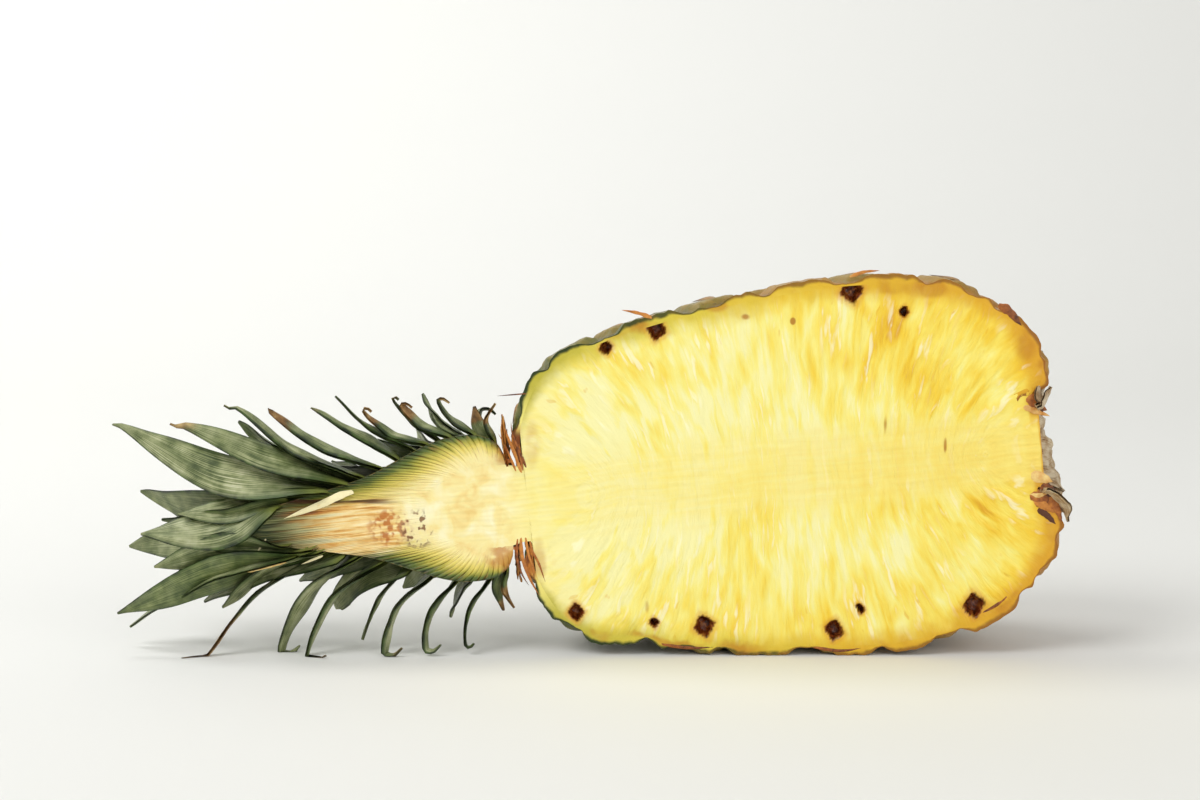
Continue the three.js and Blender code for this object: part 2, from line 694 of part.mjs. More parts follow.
// A mesh of the largest body of a solid, without the loose scraps that a cut can leave.
function mesh(name, shape, colour, roughness) {
  const body = shape.decompose().sort((a, b) => b.volume() - a.volume())[0];
  const { numProp, numVert, vertProperties, triVerts } = body.getMesh();
  const positions = new Float32Array(numVert * 3);
  for (let i = 0; i < numVert; i++) {
    positions.set(vertProperties.subarray(i * numProp, i * numProp + 3), i * 3);
  }
  const geometry = new THREE.BufferGeometry();
  geometry.setAttribute("position", new THREE.BufferAttribute(positions, 3));
  geometry.setIndex(new THREE.BufferAttribute(triVerts, 1));
  geometry.computeVertexNormals();
  const finish = new THREE.MeshStandardMaterial({ color: colour, roughness, metalness: 0 });
  const made = new THREE.Mesh(geometry, finish);
  made.name = name;
  return made;
}

const flesh = fleshSolid(0)
  .add(stemSolid(0))
  .subtract(FRONT)
  .subtract(wasm.Manifold.union(FLOWER_CUPS.map(flowerCup)));
const rind = wasm.Manifold.union([skinSolid(), ...bracts()])
  .subtract(FRONT)
  .subtract(fleshSolid(GAP))
  .subtract(stemSolid(GAP));

const pineapple = new THREE.Group();
pineapple.add(
  mesh("flesh_core_and_stem", flesh, "#f6e384", 0.35),
  mesh("rind", rind, "#8a7a2c", 0.6),
  mesh("crown_leaves", crownLeaves(), "#5f7447", 0.55),
  mesh("neck_bracts", neckBracts(), "#a8702a", 0.7),
  mesh("base_scales", baseScales(), "#9a8462", 0.8),
);
const bounds = new THREE.Box3().setFromObject(pineapple);
const footprint = bounds.getCenter(new THREE.Vector3());
pineapple.position.set(-footprint.x, -footprint.y, -bounds.min.z);

export default pineapple;
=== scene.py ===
"""Half of a pineapple with its crown, lying on its rind with the cut face to the camera."""
import bisect
import math

import bmesh
import bpy
from mathutils import Matrix, Vector, noise


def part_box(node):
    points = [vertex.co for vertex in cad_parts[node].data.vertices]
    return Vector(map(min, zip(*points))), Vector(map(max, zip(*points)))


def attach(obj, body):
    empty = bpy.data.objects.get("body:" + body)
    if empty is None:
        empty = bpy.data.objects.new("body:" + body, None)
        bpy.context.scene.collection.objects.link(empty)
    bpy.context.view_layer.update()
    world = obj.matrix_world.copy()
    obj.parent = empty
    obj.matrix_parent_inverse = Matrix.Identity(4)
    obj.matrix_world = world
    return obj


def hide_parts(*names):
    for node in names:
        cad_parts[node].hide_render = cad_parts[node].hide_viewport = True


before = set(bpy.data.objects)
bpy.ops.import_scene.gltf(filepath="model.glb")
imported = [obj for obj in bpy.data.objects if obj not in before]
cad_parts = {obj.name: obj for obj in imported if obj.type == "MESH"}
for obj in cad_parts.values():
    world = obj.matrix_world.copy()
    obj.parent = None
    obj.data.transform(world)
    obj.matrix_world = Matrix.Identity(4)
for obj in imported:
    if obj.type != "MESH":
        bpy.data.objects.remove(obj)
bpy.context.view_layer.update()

MM = 0.001

# The fruit's own measures, in millimetres and degrees, as in the solids that these pieces replace.
FRUIT_RADIUS = 63
DEPTH_SHARE = 0.94
RIND_THICKNESS = 2.6
FLESH_DEPTH = 2.25  # where the flesh ends, just inside the rind's inner face
FLESH_SHARES = (0.085, 0.915)  # of the rind's outline, from the neck to the core's recess
RIND_SHARES = (0.043, 0.953)  # short of its ends inside the fruit
RIND_INSIDE = 2.4
FRUIT_TILT = math.radians(6.2)
CROWN_TILT = math.radians(5.3)
NECK_RADIUS = 12.8
NECK_HEIGHT = 51.7
FRUIT_LENGTH = 175
CORE_END = 174
CORE_SHOULDER = 171.4
CORE_RADIUS = 12.8
RECESS_RADIUS = 17.5
RIND_OUTLINE = [
    (9, 7), (2.5, 12), (0, 17), (0.2, 24), (3.5, 33), (9, 41.7), (17, 47.7), (32, 53), (52, 57.4),
    (76, 60.6), (98, 62.6), (118, FRUIT_RADIUS), (138, 60.8), (154, 56), (166, 47.5), (174, 38.2),
    (178, 29.5), (178.2, 24), (176.5, 20.5), (172, 18.6), (165, 15.5), (158, 9),
]
SIDE_SQUARENESS = 2.25
LYING_SQUARENESS = 4.5
FLAT_BLEND = 1.1
NECK_LIFT = 3.6
LIFT_RANGE = (36, 64)
GOLDEN_TURN = math.pi * (3 - math.sqrt(5))
STEEP_ROW = 8
FLAT_ROW = 13
EYE_RISE = 1.5
EYE_SHRINK = 0.35
EYE_TOP = 1.2
EYE_GROOVE = 1.3
EYE_DIMPLE = 0.5
FIRST_BRACT = 22
LAST_BRACT = 26
PACK_OUTLINE = [
    (4.3, 17.5), (6.5, 21.5), (12, 24.3), (20, 24.6), (28, 23), (38, 19), (50, 14), (62, 11), (76, 8),
    (92, 4.5), (102, 0),
]
CROWN_STEM = 32
STEM_OUTLINE = [(0, NECK_RADIUS), (6, 14), (13, 13.6), (20, 12), (26, 9), (30.5, 5), (CROWN_STEM, 0)]
FLOWER_CUPS = [
    (33.9, 49, 2.3), (51.1, 53.3, 3.5), (116.2, 59, 3.9), (132.8, 50.1, 1.8), (14.4, -38.6, 2.8),
    (39.8, -47.3, 1.8), (56.5, -49.2, 3.6), (99.8, -55.1, 3.4), (108.8, -48.4, 1.9), (147.2, -50.6, 3.8),
]

BEHIND = Vector((0, 1, 0))
fruit_axis = Vector((math.cos(FRUIT_TILT), 0, math.sin(FRUIT_TILT)))
fruit_up = Vector((-fruit_axis.z, 0, fruit_axis.x))
crown_axis = Vector((-math.cos(CROWN_TILT), 0, -math.sin(CROWN_TILT)))
crown_up = Vector((crown_axis.z, 0, -crown_axis.x))
stem_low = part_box("flesh_core_and_stem")[0] / MM
CUT = stem_low.y
SKIN_GAP = 0.03  # how far skin and packed leaves lie behind the plane of the cut
CUT_SKIN = CUT + SKIN_GAP
FLOOR_GAP = 0.02
NECK = Vector((stem_low.x + CROWN_STEM * math.cos(CROWN_TILT), CUT, NECK_HEIGHT))


def draw(index, salt):
    """A repeatable draw between 0 and 1."""
    value = math.sin(index * 127.1 + salt * 311.7) * 43758.5453
    return value - math.floor(value)


def ease(low, high, value):
    part = min(1.0, max(0.0, (value - low) / (high - low)))
    return part * part * (3 - 2 * part)


def lerp(a, b, part):
    return a + (b - a) * part


def rough(point, size, salt=0.0):
    """Smooth noise between about -1 and 1, with features of the given size."""
    return noise.noise(Vector(point) / size + Vector((salt, salt * 1.7, salt * 2.3)))


class Path:
    """A smooth curve through points, read by the share of its length."""

    def __init__(self, points, centripetal=False, steps=400):
        self.points = [Vector(p) for p in points]
        self.centripetal = centripetal
        self.samples = [self.at(k / steps) for k in range(steps + 1)]
        self.lengths = [0.0]
        for before, after in zip(self.samples, self.samples[1:]):
            self.lengths.append(self.lengths[-1] + (after - before).length)
        self.length = self.lengths[-1]

    def at(self, share):
        place = share * (len(self.points) - 1)
        k = min(int(place), len(self.points) - 2)
        t = place - k
        p1, p2 = self.points[k], self.points[k + 1]
        last = len(self.points) - 1
        if self.centripetal:
            p0 = self.points[k - 1] if k else p1 * 2 - p2
            p3 = self.points[k + 2] if k + 2 <= last else p2 * 2 - p1
            d1 = (p2 - p1).length ** 0.5
            d0 = (p1 - p0).length ** 0.5 or d1
            d2 = (p3 - p2).length ** 0.5 or d1
            m1 = ((p1 - p0) / d0 - (p2 - p0) / (d0 + d1) + (p2 - p1) / d1) * d1
            m2 = ((p2 - p1) / d1 - (p3 - p1) / (d1 + d2) + (p3 - p2) / d2) * d1
        else:
            p0 = self.points[max(0, k - 1)]
            p3 = self.points[min(last, k + 2)]
            m1 = (p2 - p0) * 0.5
            m2 = (p3 - p1) * 0.5
        return p1 + m1 * t + (p2 * 3 - p1 * 3 - m1 * 2 - m2) * t**2 + (p1 * 2 - p2 * 2 + m1 + m2) * t**3

    def point(self, share):
        goal = min(max(share, 0.0), 1.0) * self.length
        k = min(max(bisect.bisect_right(self.lengths, goal), 1), len(self.lengths) - 1)
        span = self.lengths[k] - self.lengths[k - 1] or 1.0
        part = (goal - self.lengths[k - 1]) / span
        return self.samples[k - 1].lerp(self.samples[k], part)

    def tangent(self, share):
        low, high = max(0.0, share - 0.004), min(1.0, share + 0.004)
        return (self.point(high) - self.point(low)).normalized()


def settled(height, level):
    """Raises what would lie under a level up to it, with a soft run-out."""
    above = height - level
    if above >= FLAT_BLEND:
        return height
    if above <= -FLAT_BLEND:
        return level
    return level + (above + FLAT_BLEND) ** 2 / (4 * FLAT_BLEND)


def fruit_point(along, radius, turn, inset):
    """A point so far along the fruit from the neck and so far out, turned from straight down at 0
    round the back to straight up at pi. `inset` is its depth under the skin, where the fruit lies flat."""
    up, back = -math.cos(turn), math.sin(turn)
    most = LYING_SQUARENESS if up < 0 else SIDE_SQUARENESS
    power = 2 + (most - 2) * min(1, radius / FRUIT_RADIUS) ** 2
    stretch = (abs(up) ** power + abs(back) ** power) ** (-1 / power)
    off = fruit_axis * along + fruit_up * (up * radius * stretch)
    off += BEHIND * (back * radius * stretch * DEPTH_SHARE)
    point = NECK + off
    lift = NECK_LIFT * (1 - ease(*LIFT_RANGE, off.x))
    point.z = settled(point.z, EYE_TOP + inset + lift)
    return point


def crown_point(along, out, turn):
    """The same for the crown, which runs the other way from the neck."""
    return NECK + crown_axis * along + crown_up * (-math.cos(turn) * out) + BEHIND * (math.sin(turn) * out)


rind_curve = Path([(a, r, 0) for a, r in RIND_OUTLINE], steps=900)


def rind_point(share, turn, inset):
    middle, tangent = rind_curve.point(share), rind_curve.tangent(share)
    return fruit_point(middle.x + inset * tangent.y, middle.y - inset * tangent.x, turn, inset)


# The spiral's place number against the share of the outline.
rind_shares, rind_places = [0.0], [0.0]
for k in range(1, 1201):
    radius = rind_curve.point(k / 1200).y
    rise = EYE_RISE * (radius / FRUIT_RADIUS) ** EYE_SHRINK
    rind_shares.append(k / 1200)
    rind_places.append(rind_places[-1] + rind_curve.length / 1200 / rise)
EYE_COUNT = int(rind_places[-1])


def between(value, keys, values):
    k = min(max(bisect.bisect_right(keys, value), 1), len(keys) - 1)
    part = (value - keys[k - 1]) / (keys[k] - keys[k - 1])
    return lerp(values[k - 1], values[k], min(1.0, max(0.0, part)))


def row_turn(row):
    turn = row * GOLDEN_TURN
    return turn - 2 * math.pi * round(turn / (2 * math.pi))


STEEP_TURN, FLAT_TURN = row_turn(STEEP_ROW), row_turn(FLAT_ROW)
TWIST = STEEP_ROW * FLAT_TURN - FLAT_ROW * STEEP_TURN


def eye_size(share):
    return min(1, rind_curve.point(share).y / (0.7 * FRUIT_RADIUS))


def eye_point(eye, steep, flat, height):
    place = min(max(eye + steep * STEEP_ROW + flat * FLAT_ROW, 0), EYE_COUNT)
    share = between(place, rind_places, rind_shares)
    turn = eye * GOLDEN_TURN + steep * STEEP_TURN + flat * FLAT_TURN
    return rind_point(share, turn, -height * eye_size(share))


def eye_at(share, turn):
    """The eye that a place of the rind belongs to, and the place within that eye."""
    place = between(share, rind_shares, rind_places)
    steep = (place * FLAT_TURN - FLAT_ROW * turn) / TWIST
    flat = (STEEP_ROW * turn - STEEP_TURN * place) / TWIST
    return STEEP_ROW * round(steep) + FLAT_ROW * round(flat), steep - round(steep), flat - round(flat)


class Piece:
    """A mesh under construction, in millimetres, with named values on its points."""

    def __init__(self, name, *values):
        self.name = name
        self.mesh = bmesh.new()
        self.values = {v: self.mesh.verts.layers.float.new(v) for v in values}

    def sheet(self, columns, rows, place, slot=0):
        """A grid bent into shape: place(s, t) gives a point and its values for s, t from 0 to 1."""
        made = bmesh.ops.create_grid(self.mesh, x_segments=columns, y_segments=rows, size=0.5)["verts"]
        for vert in made:
            vert.co, values = place(vert.co.x + 0.5, vert.co.y + 0.5)
            for name, value in values.items():
                vert[self.values[name]] = value
        for face in {f for v in made for f in v.link_faces}:
            face.material_index = slot
        return made

    def close(self, verts=None, gap=0.004):
        bmesh.ops.remove_doubles(self.mesh, verts=verts or self.mesh.verts[:], dist=gap)

    def finish(self, finishes, slot, replaces, smooth=40):
        bmesh.ops.dissolve_degenerate(self.mesh, edges=self.mesh.edges[:], dist=0.0005)
        bmesh.ops.recalc_face_normals(self.mesh, faces=self.mesh.faces[:])
        bmesh.ops.scale(self.mesh, vec=(MM, MM, MM), verts=self.mesh.verts[:])
        data = bpy.data.meshes.new(self.name)
        self.mesh.to_mesh(data)
        self.mesh.free()
        made = bpy.data.objects.new(self.name, data)
        bpy.context.scene.collection.objects.link(made)
        for finish in finishes:
            data.materials.append(finish)
        data.shade_smooth()
        data.set_sharp_from_angle(angle=math.radians(smooth))
        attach(made, "root")
        if replaces:
            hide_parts(replaces)


# ---- shapes
def flesh_outline():
    stem = Path([(-a, r, 0) for a, r in reversed(STEM_OUTLINE)])
    line = [stem.point(k / 40) for k in range(41)]
    line.append(Vector((2.4, NECK_RADIUS, 0)))
    for k in range(161):
        share = lerp(*FLESH_SHARES, k / 160)
        middle, tangent = rind_curve.point(share), rind_curve.tangent(share)
        line.append(middle + FLESH_DEPTH * Vector((tangent.y, -tangent.x, 0)))
    base = (CORE_SHOULDER, RECESS_RADIUS), (CORE_SHOULDER, CORE_RADIUS), (CORE_END, CORE_RADIUS), (CORE_END, 0)
    return line + [Vector((along, radius, 0)) for along, radius in base]


class Line:
    """Straight runs between points, read by shares in which steps along the fruit weigh most."""

    def __init__(self, points):
        self.points = points
        self.places = [0.0]
        for before, after in zip(points, points[1:]):
            self.places.append(self.places[-1] + abs(after.x - before.x) + 0.3 * abs(after.y - before.y))

    def point(self, share):
        return between(share * self.places[-1], self.places, self.points)


# Towards the base the cut face's stations bow round the core's recess: how far each has got on
# the axis, against its share of the run from BOW_START to the end of the core.
BOW_START = 160
BOW_SHARES = (0, 0.61, 0.7, 0.79, 0.83, 0.9, 1)
BOW_MIDDLES = (BOW_START, 168, 169, 170, 171, 173, CORE_END)
FOCI = (24, 156)
CAMBER = (FOCI[1] - FOCI[0]) / 2


def fibre_run(along, out):
    """Where a point lies among the fibres, which leave the core square and fan out at both ends."""
    near = math.hypot(along - FOCI[0], out)
    far = math.hypot(along - FOCI[1], out)
    return (near - far) / (2 * CAMBER), math.sqrt(max(0.0, ((near + far) / (2 * CAMBER)) ** 2 - 1))


def cup_depth(along, out):
    """How deep a flower cup is at a point of the cut face, its mask and the mask of its stained edge."""
    for number, (centre, level, half) in enumerate(FLOWER_CUPS):
        side, end = along - centre, (out - level) / 1.2
        away = math.hypot(side, end)
        if away < 3 * half:
            lean = 0.7 * (draw(number, 31) - 0.5)
            side, end = side + lean * end, end - lean * side
            away = (abs(side) ** 1.2 + abs(end) ** 1.2) ** (1 / 1.2)
            spot = (side, end, number)
            away = away / half + 0.16 * rough((side, end, number * 3), 0.8) + 0.1 * rough(spot, 2)
            depth = 3.6 * ease(1.02, 0.5, away) - 0.8 * rough(spot, 1.1) * ease(0.9, 0.5, away)
            return depth, ease(1.08, 0.94, away), ease(1.75, 1.05, away)
    return 0.0, 0.0, 0.0


FLESH_VALUES = ("along", "out", "rim", "fibre", "reach", "cup", "halo")


def build_flesh():
    piece = Piece("cut_flesh", *FLESH_VALUES)
    line = Line(flesh_outline())
    stations, across, behind = 380, 200, 24
    whole = across + behind
    bow_from = next(p for p, q in zip(line.places, line.points) if q.x > BOW_START) / line.places[-1]

    def place(s, t):
        spot = line.point(s)
        along, radius = spot.x, spot.y
        part = t * whole
        on_face = part < across + 0.5
        turn = math.pi if on_face else math.pi * (1 - (part - across) / behind)

        def put(angle):
            if along > 0:
                return fruit_point(along, radius, angle, FLESH_DEPTH)
            return crown_point(-along, radius, angle)

        if not on_face:
            out = -radius * math.cos(turn)
            fibre, reach = fibre_run(along, out)
            return put(turn), {"along": along, "out": out, "rim": 1, "fibre": fibre, "reach": reach}
        level = 2 * part / across - 1
        point = put(0).lerp(put(math.pi), part / across)
        if s > bow_from:
            middle = between((s - bow_from) / (1 - bow_from), BOW_SHARES, BOW_MIDDLES)
            bowed = lerp(middle, along, abs(level) ** 5)
            point += fruit_axis * (bowed - along)
            along = bowed
        out = level * radius
        fibre, reach = fibre_run(along, out)
        depth, cup, halo = cup_depth(along, out) if along > 5 else (0.0, 0.0, 0.0)
        edge = radius - abs(out)
        calm = ease(0, 4, edge)
        fibres = rough((fibre * 30, reach * 4, 0), 1, 3) * 0.3 + rough((fibre * 75, reach * 6, 0), 1, 9) * 0.16
        threads = rough((along / 9, out * 1.1, 0), 1, 5) * 0.14
        relief = lerp(threads, fibres, ease(9, 17, abs(out)) if along > 8 else 0)
        relief += 0.12 * rough(point, 6, 2)
        point.y += depth - calm * relief * (1 - cup)
        values = {"along": along, "out": out, "rim": 1 - edge / 10, "fibre": fibre, "reach": reach}
        return point, {**values, "cup": cup, "halo": halo}

    piece.sheet(stations, whole, place)
    piece.close(gap=0.02)
    piece.finish([flesh_finish()], "flesh", "flesh_core_and_stem", smooth=50)


def eye_height(eye, steep, flat):
    """Relief of the rind across one eye, with its dimple, its rim and the groove round it."""
    edge = 2 * max(abs(steep), abs(flat))
    corner = abs(steep) + abs(flat)
    height = -EYE_GROOVE + (EYE_TOP + EYE_GROOVE) * ease(1.0, 0.62, max(edge, 0.82 * edge + 0.3 * corner))
    height -= EYE_DIMPLE * ease(0.34, 0.0, edge)
    height -= 0.22 * (1 + rough((steep * 14, flat * 14, eye), 1, 4)) * ease(0.1, 0.5, edge)
    return height


def build_rind():
    piece = Piece("rind_eyes", "edge", "tone", "along", "depth", "dry", "axial", "inset")
    columns, rows, inner_rows, cut_rows = 300, 250, 24, 5

    def surface(share, turn, depth):
        """The skin at depth 1 and the face against the flesh at depth 0."""
        eye, steep, flat = eye_at(share, turn)
        relief = eye_height(eye, steep, flat) * eye_size(share)
        relief += 0.55 * rough((share * rind_curve.length, turn, 0), 2.6) * ease(0.3, 0, math.sin(turn))
        height = lerp(-RIND_INSIDE, relief, depth)
        edge = 2 * max(abs(steep), abs(flat))
        return rind_point(share, turn, -height), {
            "edge": edge, "tone": draw(eye, 6), "along": share, "depth": depth,
            "axial": rind_curve.point(share).x, "inset": -height, "dry": ease(0.34, 0.1, edge),
        }

    def faced(depth):
        def place(s, t):
            point, values = surface(lerp(*RIND_SHARES, s), math.pi * t, depth)
            return Vector((point.x, CUT_SKIN if t in (0, 1) else point.y, max(point.z, FLOOR_GAP))), values
        return place

    piece.sheet(columns, rows, faced(1))
    piece.sheet(columns, inner_rows, faced(0))
    for turn in (0, math.pi):
        def sliced(s, t):
            point, values = surface(lerp(*RIND_SHARES, s), turn, t)
            torn = 0.15 * rough((s * 300, t * 2, turn), 1) * ease(0, 0.3, t) * ease(1, 0.8, t)
            return Vector((point.x, CUT_SKIN + torn, max(point.z, FLOOR_GAP))), values

        piece.sheet(columns, cut_rows, sliced, slot=1)
    piece.close(gap=0.002)
    bmesh.ops.holes_fill(piece.mesh, edges=[e for e in piece.mesh.edges if e.is_boundary], sides=0)
    for eye in range(FIRST_BRACT, EYE_COUNT - LAST_BRACT):
        add_bract(piece, eye)
    piece.finish([rind_finish(), rim_finish()], "rind", "rind", smooth=45)


def add_bract(piece, eye):
    """The dry bract of one eye, with its tip raised over the middle and pointing to the crown."""
    length = 0.12 + 0.16 * draw(eye, 1)
    lift = 1.2 + 0.9 * draw(eye, 2)
    left, right = eye_point(eye, 0.34, 0.04, -0.3), eye_point(eye, 0.04, 0.34, -0.3)
    tip, ridge = eye_point(eye, -length, -length, lift), eye_point(eye, 0.1, 0.1, 1.5)
    keel = eye_point(eye, 0.16, 0.16, -1.2)
    if tip.y < CUT + 7 or min(p.z for p in (left, right, tip, ridge, keel)) < 0.3:
        return
    span = (right - left) / 2
    spine = Path([(left + right) / 2, ridge, tip], centripetal=True, steps=24)
    out = (ridge - keel).normalized()

    def place(s, t):
        turn = 2 * math.pi * t
        taper = 0 if s == 1 else 0.85 + 0.4 * s - 1.25 * s**2.2 + 0.1 * math.sin(9 * s + eye)
        thick = 0 if s in (0, 1) else 0.5 * (1 - s) + 0.1
        middle = spine.point(s)
        curl = -1.0 * taper * math.cos(turn) ** 2
        point = middle + span * (taper * math.cos(turn)) + out * (thick * math.sin(turn) + curl)
        share = between(eye, rind_places, rind_shares)
        return point, {"edge": 0.5, "tone": draw(eye, 7), "along": share, "depth": 1, "dry": 1 + s}

    made = piece.sheet(8, 8, place)
    piece.close(made)


# Leaves along the cut, as in the solid, from the neck to the tip of the crown: where each leaves the
# pack, its tip (along, out), its width, its turn in degrees from the cut, and what else is its own.
UPPER_LEAVES = [
    (7, (5, 34.5), 9, 0, dict(bow=0.25, twist=-50, age=0.9)),
    (9, (12.5, 34), 8, 14, dict(near=-1, twist=50, age=0.7)),
    (13, (24, 37.5), 11, 0, dict(bow=0.12, twist=-42, hook=4, age=0.4)),
    (17, (27, 33), 13, 16, dict(near=-1)),
    (21, (36.5, 37), 12, 0, dict(bow=0.14, twist=-45, hook=4, age=0.8)),
    (25, (39, 39), 9, 5, dict(twist=-35, hook=2, age=0.3)),
    (29, (49, 36.5), 12, 0, dict(bow=0.14, twist=-45, hook=3, age=0.7)),
    (33, (57.5, 41.7), 10, 0, dict(bow=0.08, twist=-30)),
    (39, (66, 38.5), 14, 0, dict(bow=0.02, twist=-55, age=0.25)),
    (45, (80.5, 39.5), 15, 0, dict(bow=0.09, twist=-45, hook=2, age=0.6)),
    (51, (91.5, 41), 14, 0, dict(bow=0.09, twist=-45, hook=-3, age=0.2)),
    (57, (110, 36.5), 20, 0, dict(bow=0.05, near=-0.2, twist=-62, hook=-3, age=0.35)),
    (64, (130, 38.5), 24, 0, dict(bow=0.11, near=-0.4, twist=-72, hook=-2)),
]
LOWER_LEAVES = [
    (7, (5.5, 35), 9, 0, dict(bow=0.2, twist=50, age=0.9)),
    (8, (9.5, 37.5), 12, 10, dict(near=-0.8, twist=30, age=0.5)),
    (12, (23, 47), 12, 0, dict(bow=0.14, twist=40, hook=3)),
    (17, (28, 41), 13, 18, dict(near=-1)),
    (23, (37, 47), 14, 0, dict(bow=0.16, twist=45, hook=6, sway=-1)),
    (31, (51, 47), 15, 0, dict(bow=0.16, twist=45, hook=7, sway=-1.5, age=0.3)),
    (39, (58, 43), 12, 8, dict(bow=0.1, twist=30)),
    (46, (76.5, 47), 16, 0, dict(bow=0.17, twist=45, hook=7, sway=-2, age=0.3)),
    (54, (86, 45), 18, 6, dict(bow=0.15, near=-0.2, twist=50, hook=7)),
    (63, (112, 43), 11, 0, dict(bow=0.1, twist=30, sway=-2, hook=-6, age=0.9)),
    (66, (104, 28), 20, 14, dict(near=-0.6, twist=40)),
    (70, (138, 24.5), 26, 0, dict(bow=0.05, near=-0.5, twist=66)),
]
MIDDLE_LEAVES = [
    (84, (114, 7), 20, 180, dict(near=-0.2, twist=-60)),
    (80, (127, 1.5), 26, 176, dict(near=-0.6, twist=-70)),
    (78, (124, 10), 24, 4, dict(near=-0.5, twist=66)),
    (74, (118, 8), 18, 60, dict(near=-1)),
    (76, (121, 9), 18, 120, dict(near=-1)),
]
# The others follow the spiral. Blades are as thick as ROOT and TIP say, and hollow by CHANNEL.
CROWN_LEAVES = 68
FIRST_LEAF, LAST_LEAF = 7, 76
CLEAR_OF_CUT = 22  # degrees
LEAF_REACH = 40
BLADE_ROOT, BLADE_TIP, BLADE_CHANNEL = 1.7, 0.8, 0.13
BLADE_VALUES = ("run", "tone", "age", "side", "count", "cut", "face")
ROOT_SINK = 2.2  # how far a sliced blade's root lies behind the cut face of the pack
ROOT_DEPTH = 7
LOWEST_ROOT = 6.5
STRIPES = 46
NECK_BRACTS = 50
BASE_SCALES = 18
pack_curve = Path([(a, r, 0) for a, r in PACK_OUTLINE])
stem_curve = Path([(a, r, 0) for a, r in STEM_OUTLINE])
pack_alongs = [a for a, _ in PACK_OUTLINE]
pack_outs = [r for _, r in PACK_OUTLINE]


def pack_spot(i, t):
    """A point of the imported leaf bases: i counts the bases from the neck on, t runs out along one."""
    start = stem_curve.point(0.1 + 0.9 * i**0.7)
    start.y = max(0.0, start.y - 0.4)
    end = pack_curve.point(i**0.92)
    lean = lerp(0.34, 0.45, i)
    control = Vector((lerp(start.x, end.x, lean), lerp(start.y, end.y, lerp(0.78, 0.62, i)), 0))
    spot = start * (1 - t) ** 2 + control * 2 * t * (1 - t) + end * t * t
    return spot.x, max(0.0, spot.y)


def build_crown():
    piece = Piece("crown_foliage", *BLADE_VALUES)

    def section(turn, sign):
        def place(s, t):
            along, out = pack_spot(s, t)
            point = crown_point(along, out, turn)
            stripe = abs(math.sin(math.pi * STRIPES * s + 0.5 * rough((s * 40, t * 3, sign), 1)))
            calm = ease(0, 0.06, t) * ease(1, 0.97, t) * ease(0, 0.02, s) * ease(1, 0.96, s)
            relief = 0.45 * (1 - ease(0.0, 0.35, stripe)) * ease(0.22, 0.8, t)
            relief += 0.15 * rough((s * 60, t * 2, sign), 1) - 0.1
            point.y += calm * relief + SKIN_GAP
            values = {"count": s * STRIPES + sign * 100, "run": t, "tone": 0.5, "face": 1}
            return point, {**values, "side": sign * out / 10, "age": along / 100}
        return place

    columns, rows, back_rows = 300, 60, 30
    piece.sheet(columns, rows, section(math.pi, 1))
    piece.sheet(columns, rows, section(0, -1))

    def shell(end):
        def place(s, t):
            along, out = pack_spot(s, end)
            values = {"count": s * 20, "run": end, "tone": 0.5, "face": 1, "side": (2 * t - 1) * out / 10}
            return crown_point(along, out, math.pi * t), values
        return place

    piece.sheet(columns, back_rows, shell(1))
    piece.sheet(columns, back_rows, shell(0))
    piece.close(gap=0.01)
    rows = (0, UPPER_LEAVES, math.pi, -1), (40, LOWER_LEAVES, 0, 1), (80, MIDDLE_LEAVES, 0, 1)
    for first, leaves, cut_turn, way in rows:
        for k, (start, tip, width, turn, more) in enumerate(leaves):
            add_leaf(piece, first + k, cut_turn + way * math.radians(turn), start, tip, width, **more)
    for k in range(CROWN_LEAVES):
        turn = (k * GOLDEN_TURN) % (2 * math.pi)
        clear = math.radians(CLEAR_OF_CUT)
        if clear <= turn <= math.pi - clear:
            start = lerp(FIRST_LEAF, LAST_LEAF, k / (CROWN_LEAVES - 1))
            reach = LEAF_REACH + 8 * (draw(k, 4) - 0.5) - 0.1 * start
            add_leaf(
                piece, 100 + k, turn, start, (1.9 * start - 2 + 8 * (draw(k, 3) - 0.5), reach),
                12 + 0.1 * start + 3 * draw(k, 5), bow=0.06 + 0.1 * draw(k, 6), near=-1,
                twist=60 * (draw(k, 7) - 0.5), hook=5 if draw(k, 8) > 0.6 else 0,
            )
    piece.finish([crown_finish()], "leaf", "crown_leaves", smooth=55)


def facing_back(across):
    return -across if across.y < 0 else across


def add_leaf(piece, index, turn, start, tip, width, bow=0.08, near=0, twist=0, sway=0, hook=0, age=0.15):
    """One leaf. `near` is how much of its half on the cut's side is there, 0 none and -1 all of it,
    and `age` is how much of its tip has dried."""
    exit_out = between(start, pack_alongs, pack_outs) - 0.6
    run = (tip[0] - start, tip[1] - exit_out)
    path = [
        (max(LOWEST_ROOT, start - ROOT_DEPTH), exit_out * 0.62),
        (start, exit_out),
        (start + 0.5 * run[0] + bow * run[1], exit_out + 0.5 * run[1] - bow * run[0]),
        tip,
    ]
    if hook:
        path += [(tip[0] - 0.5 * hook, tip[1] + 0.1 * hook), (tip[0] - hook, tip[1] - 0.35 * hook)]
    points = [crown_point(a, r, turn) + BEHIND * (sway * max(0, (k - 1) / 2)) for k, (a, r) in enumerate(path)]
    spine = Path(points, centripetal=True, steps=120)
    radial = crown_point(0, 1, turn) - NECK
    across = facing_back(crown_axis.cross(radial))
    outward = 1 if across.cross(crown_axis).dot(radial) > 0 else -1
    hidden = (points[1] - points[0]).length / spine.length
    add_blade(piece, index, spine, across, outward, width, near, twist, age, hidden)


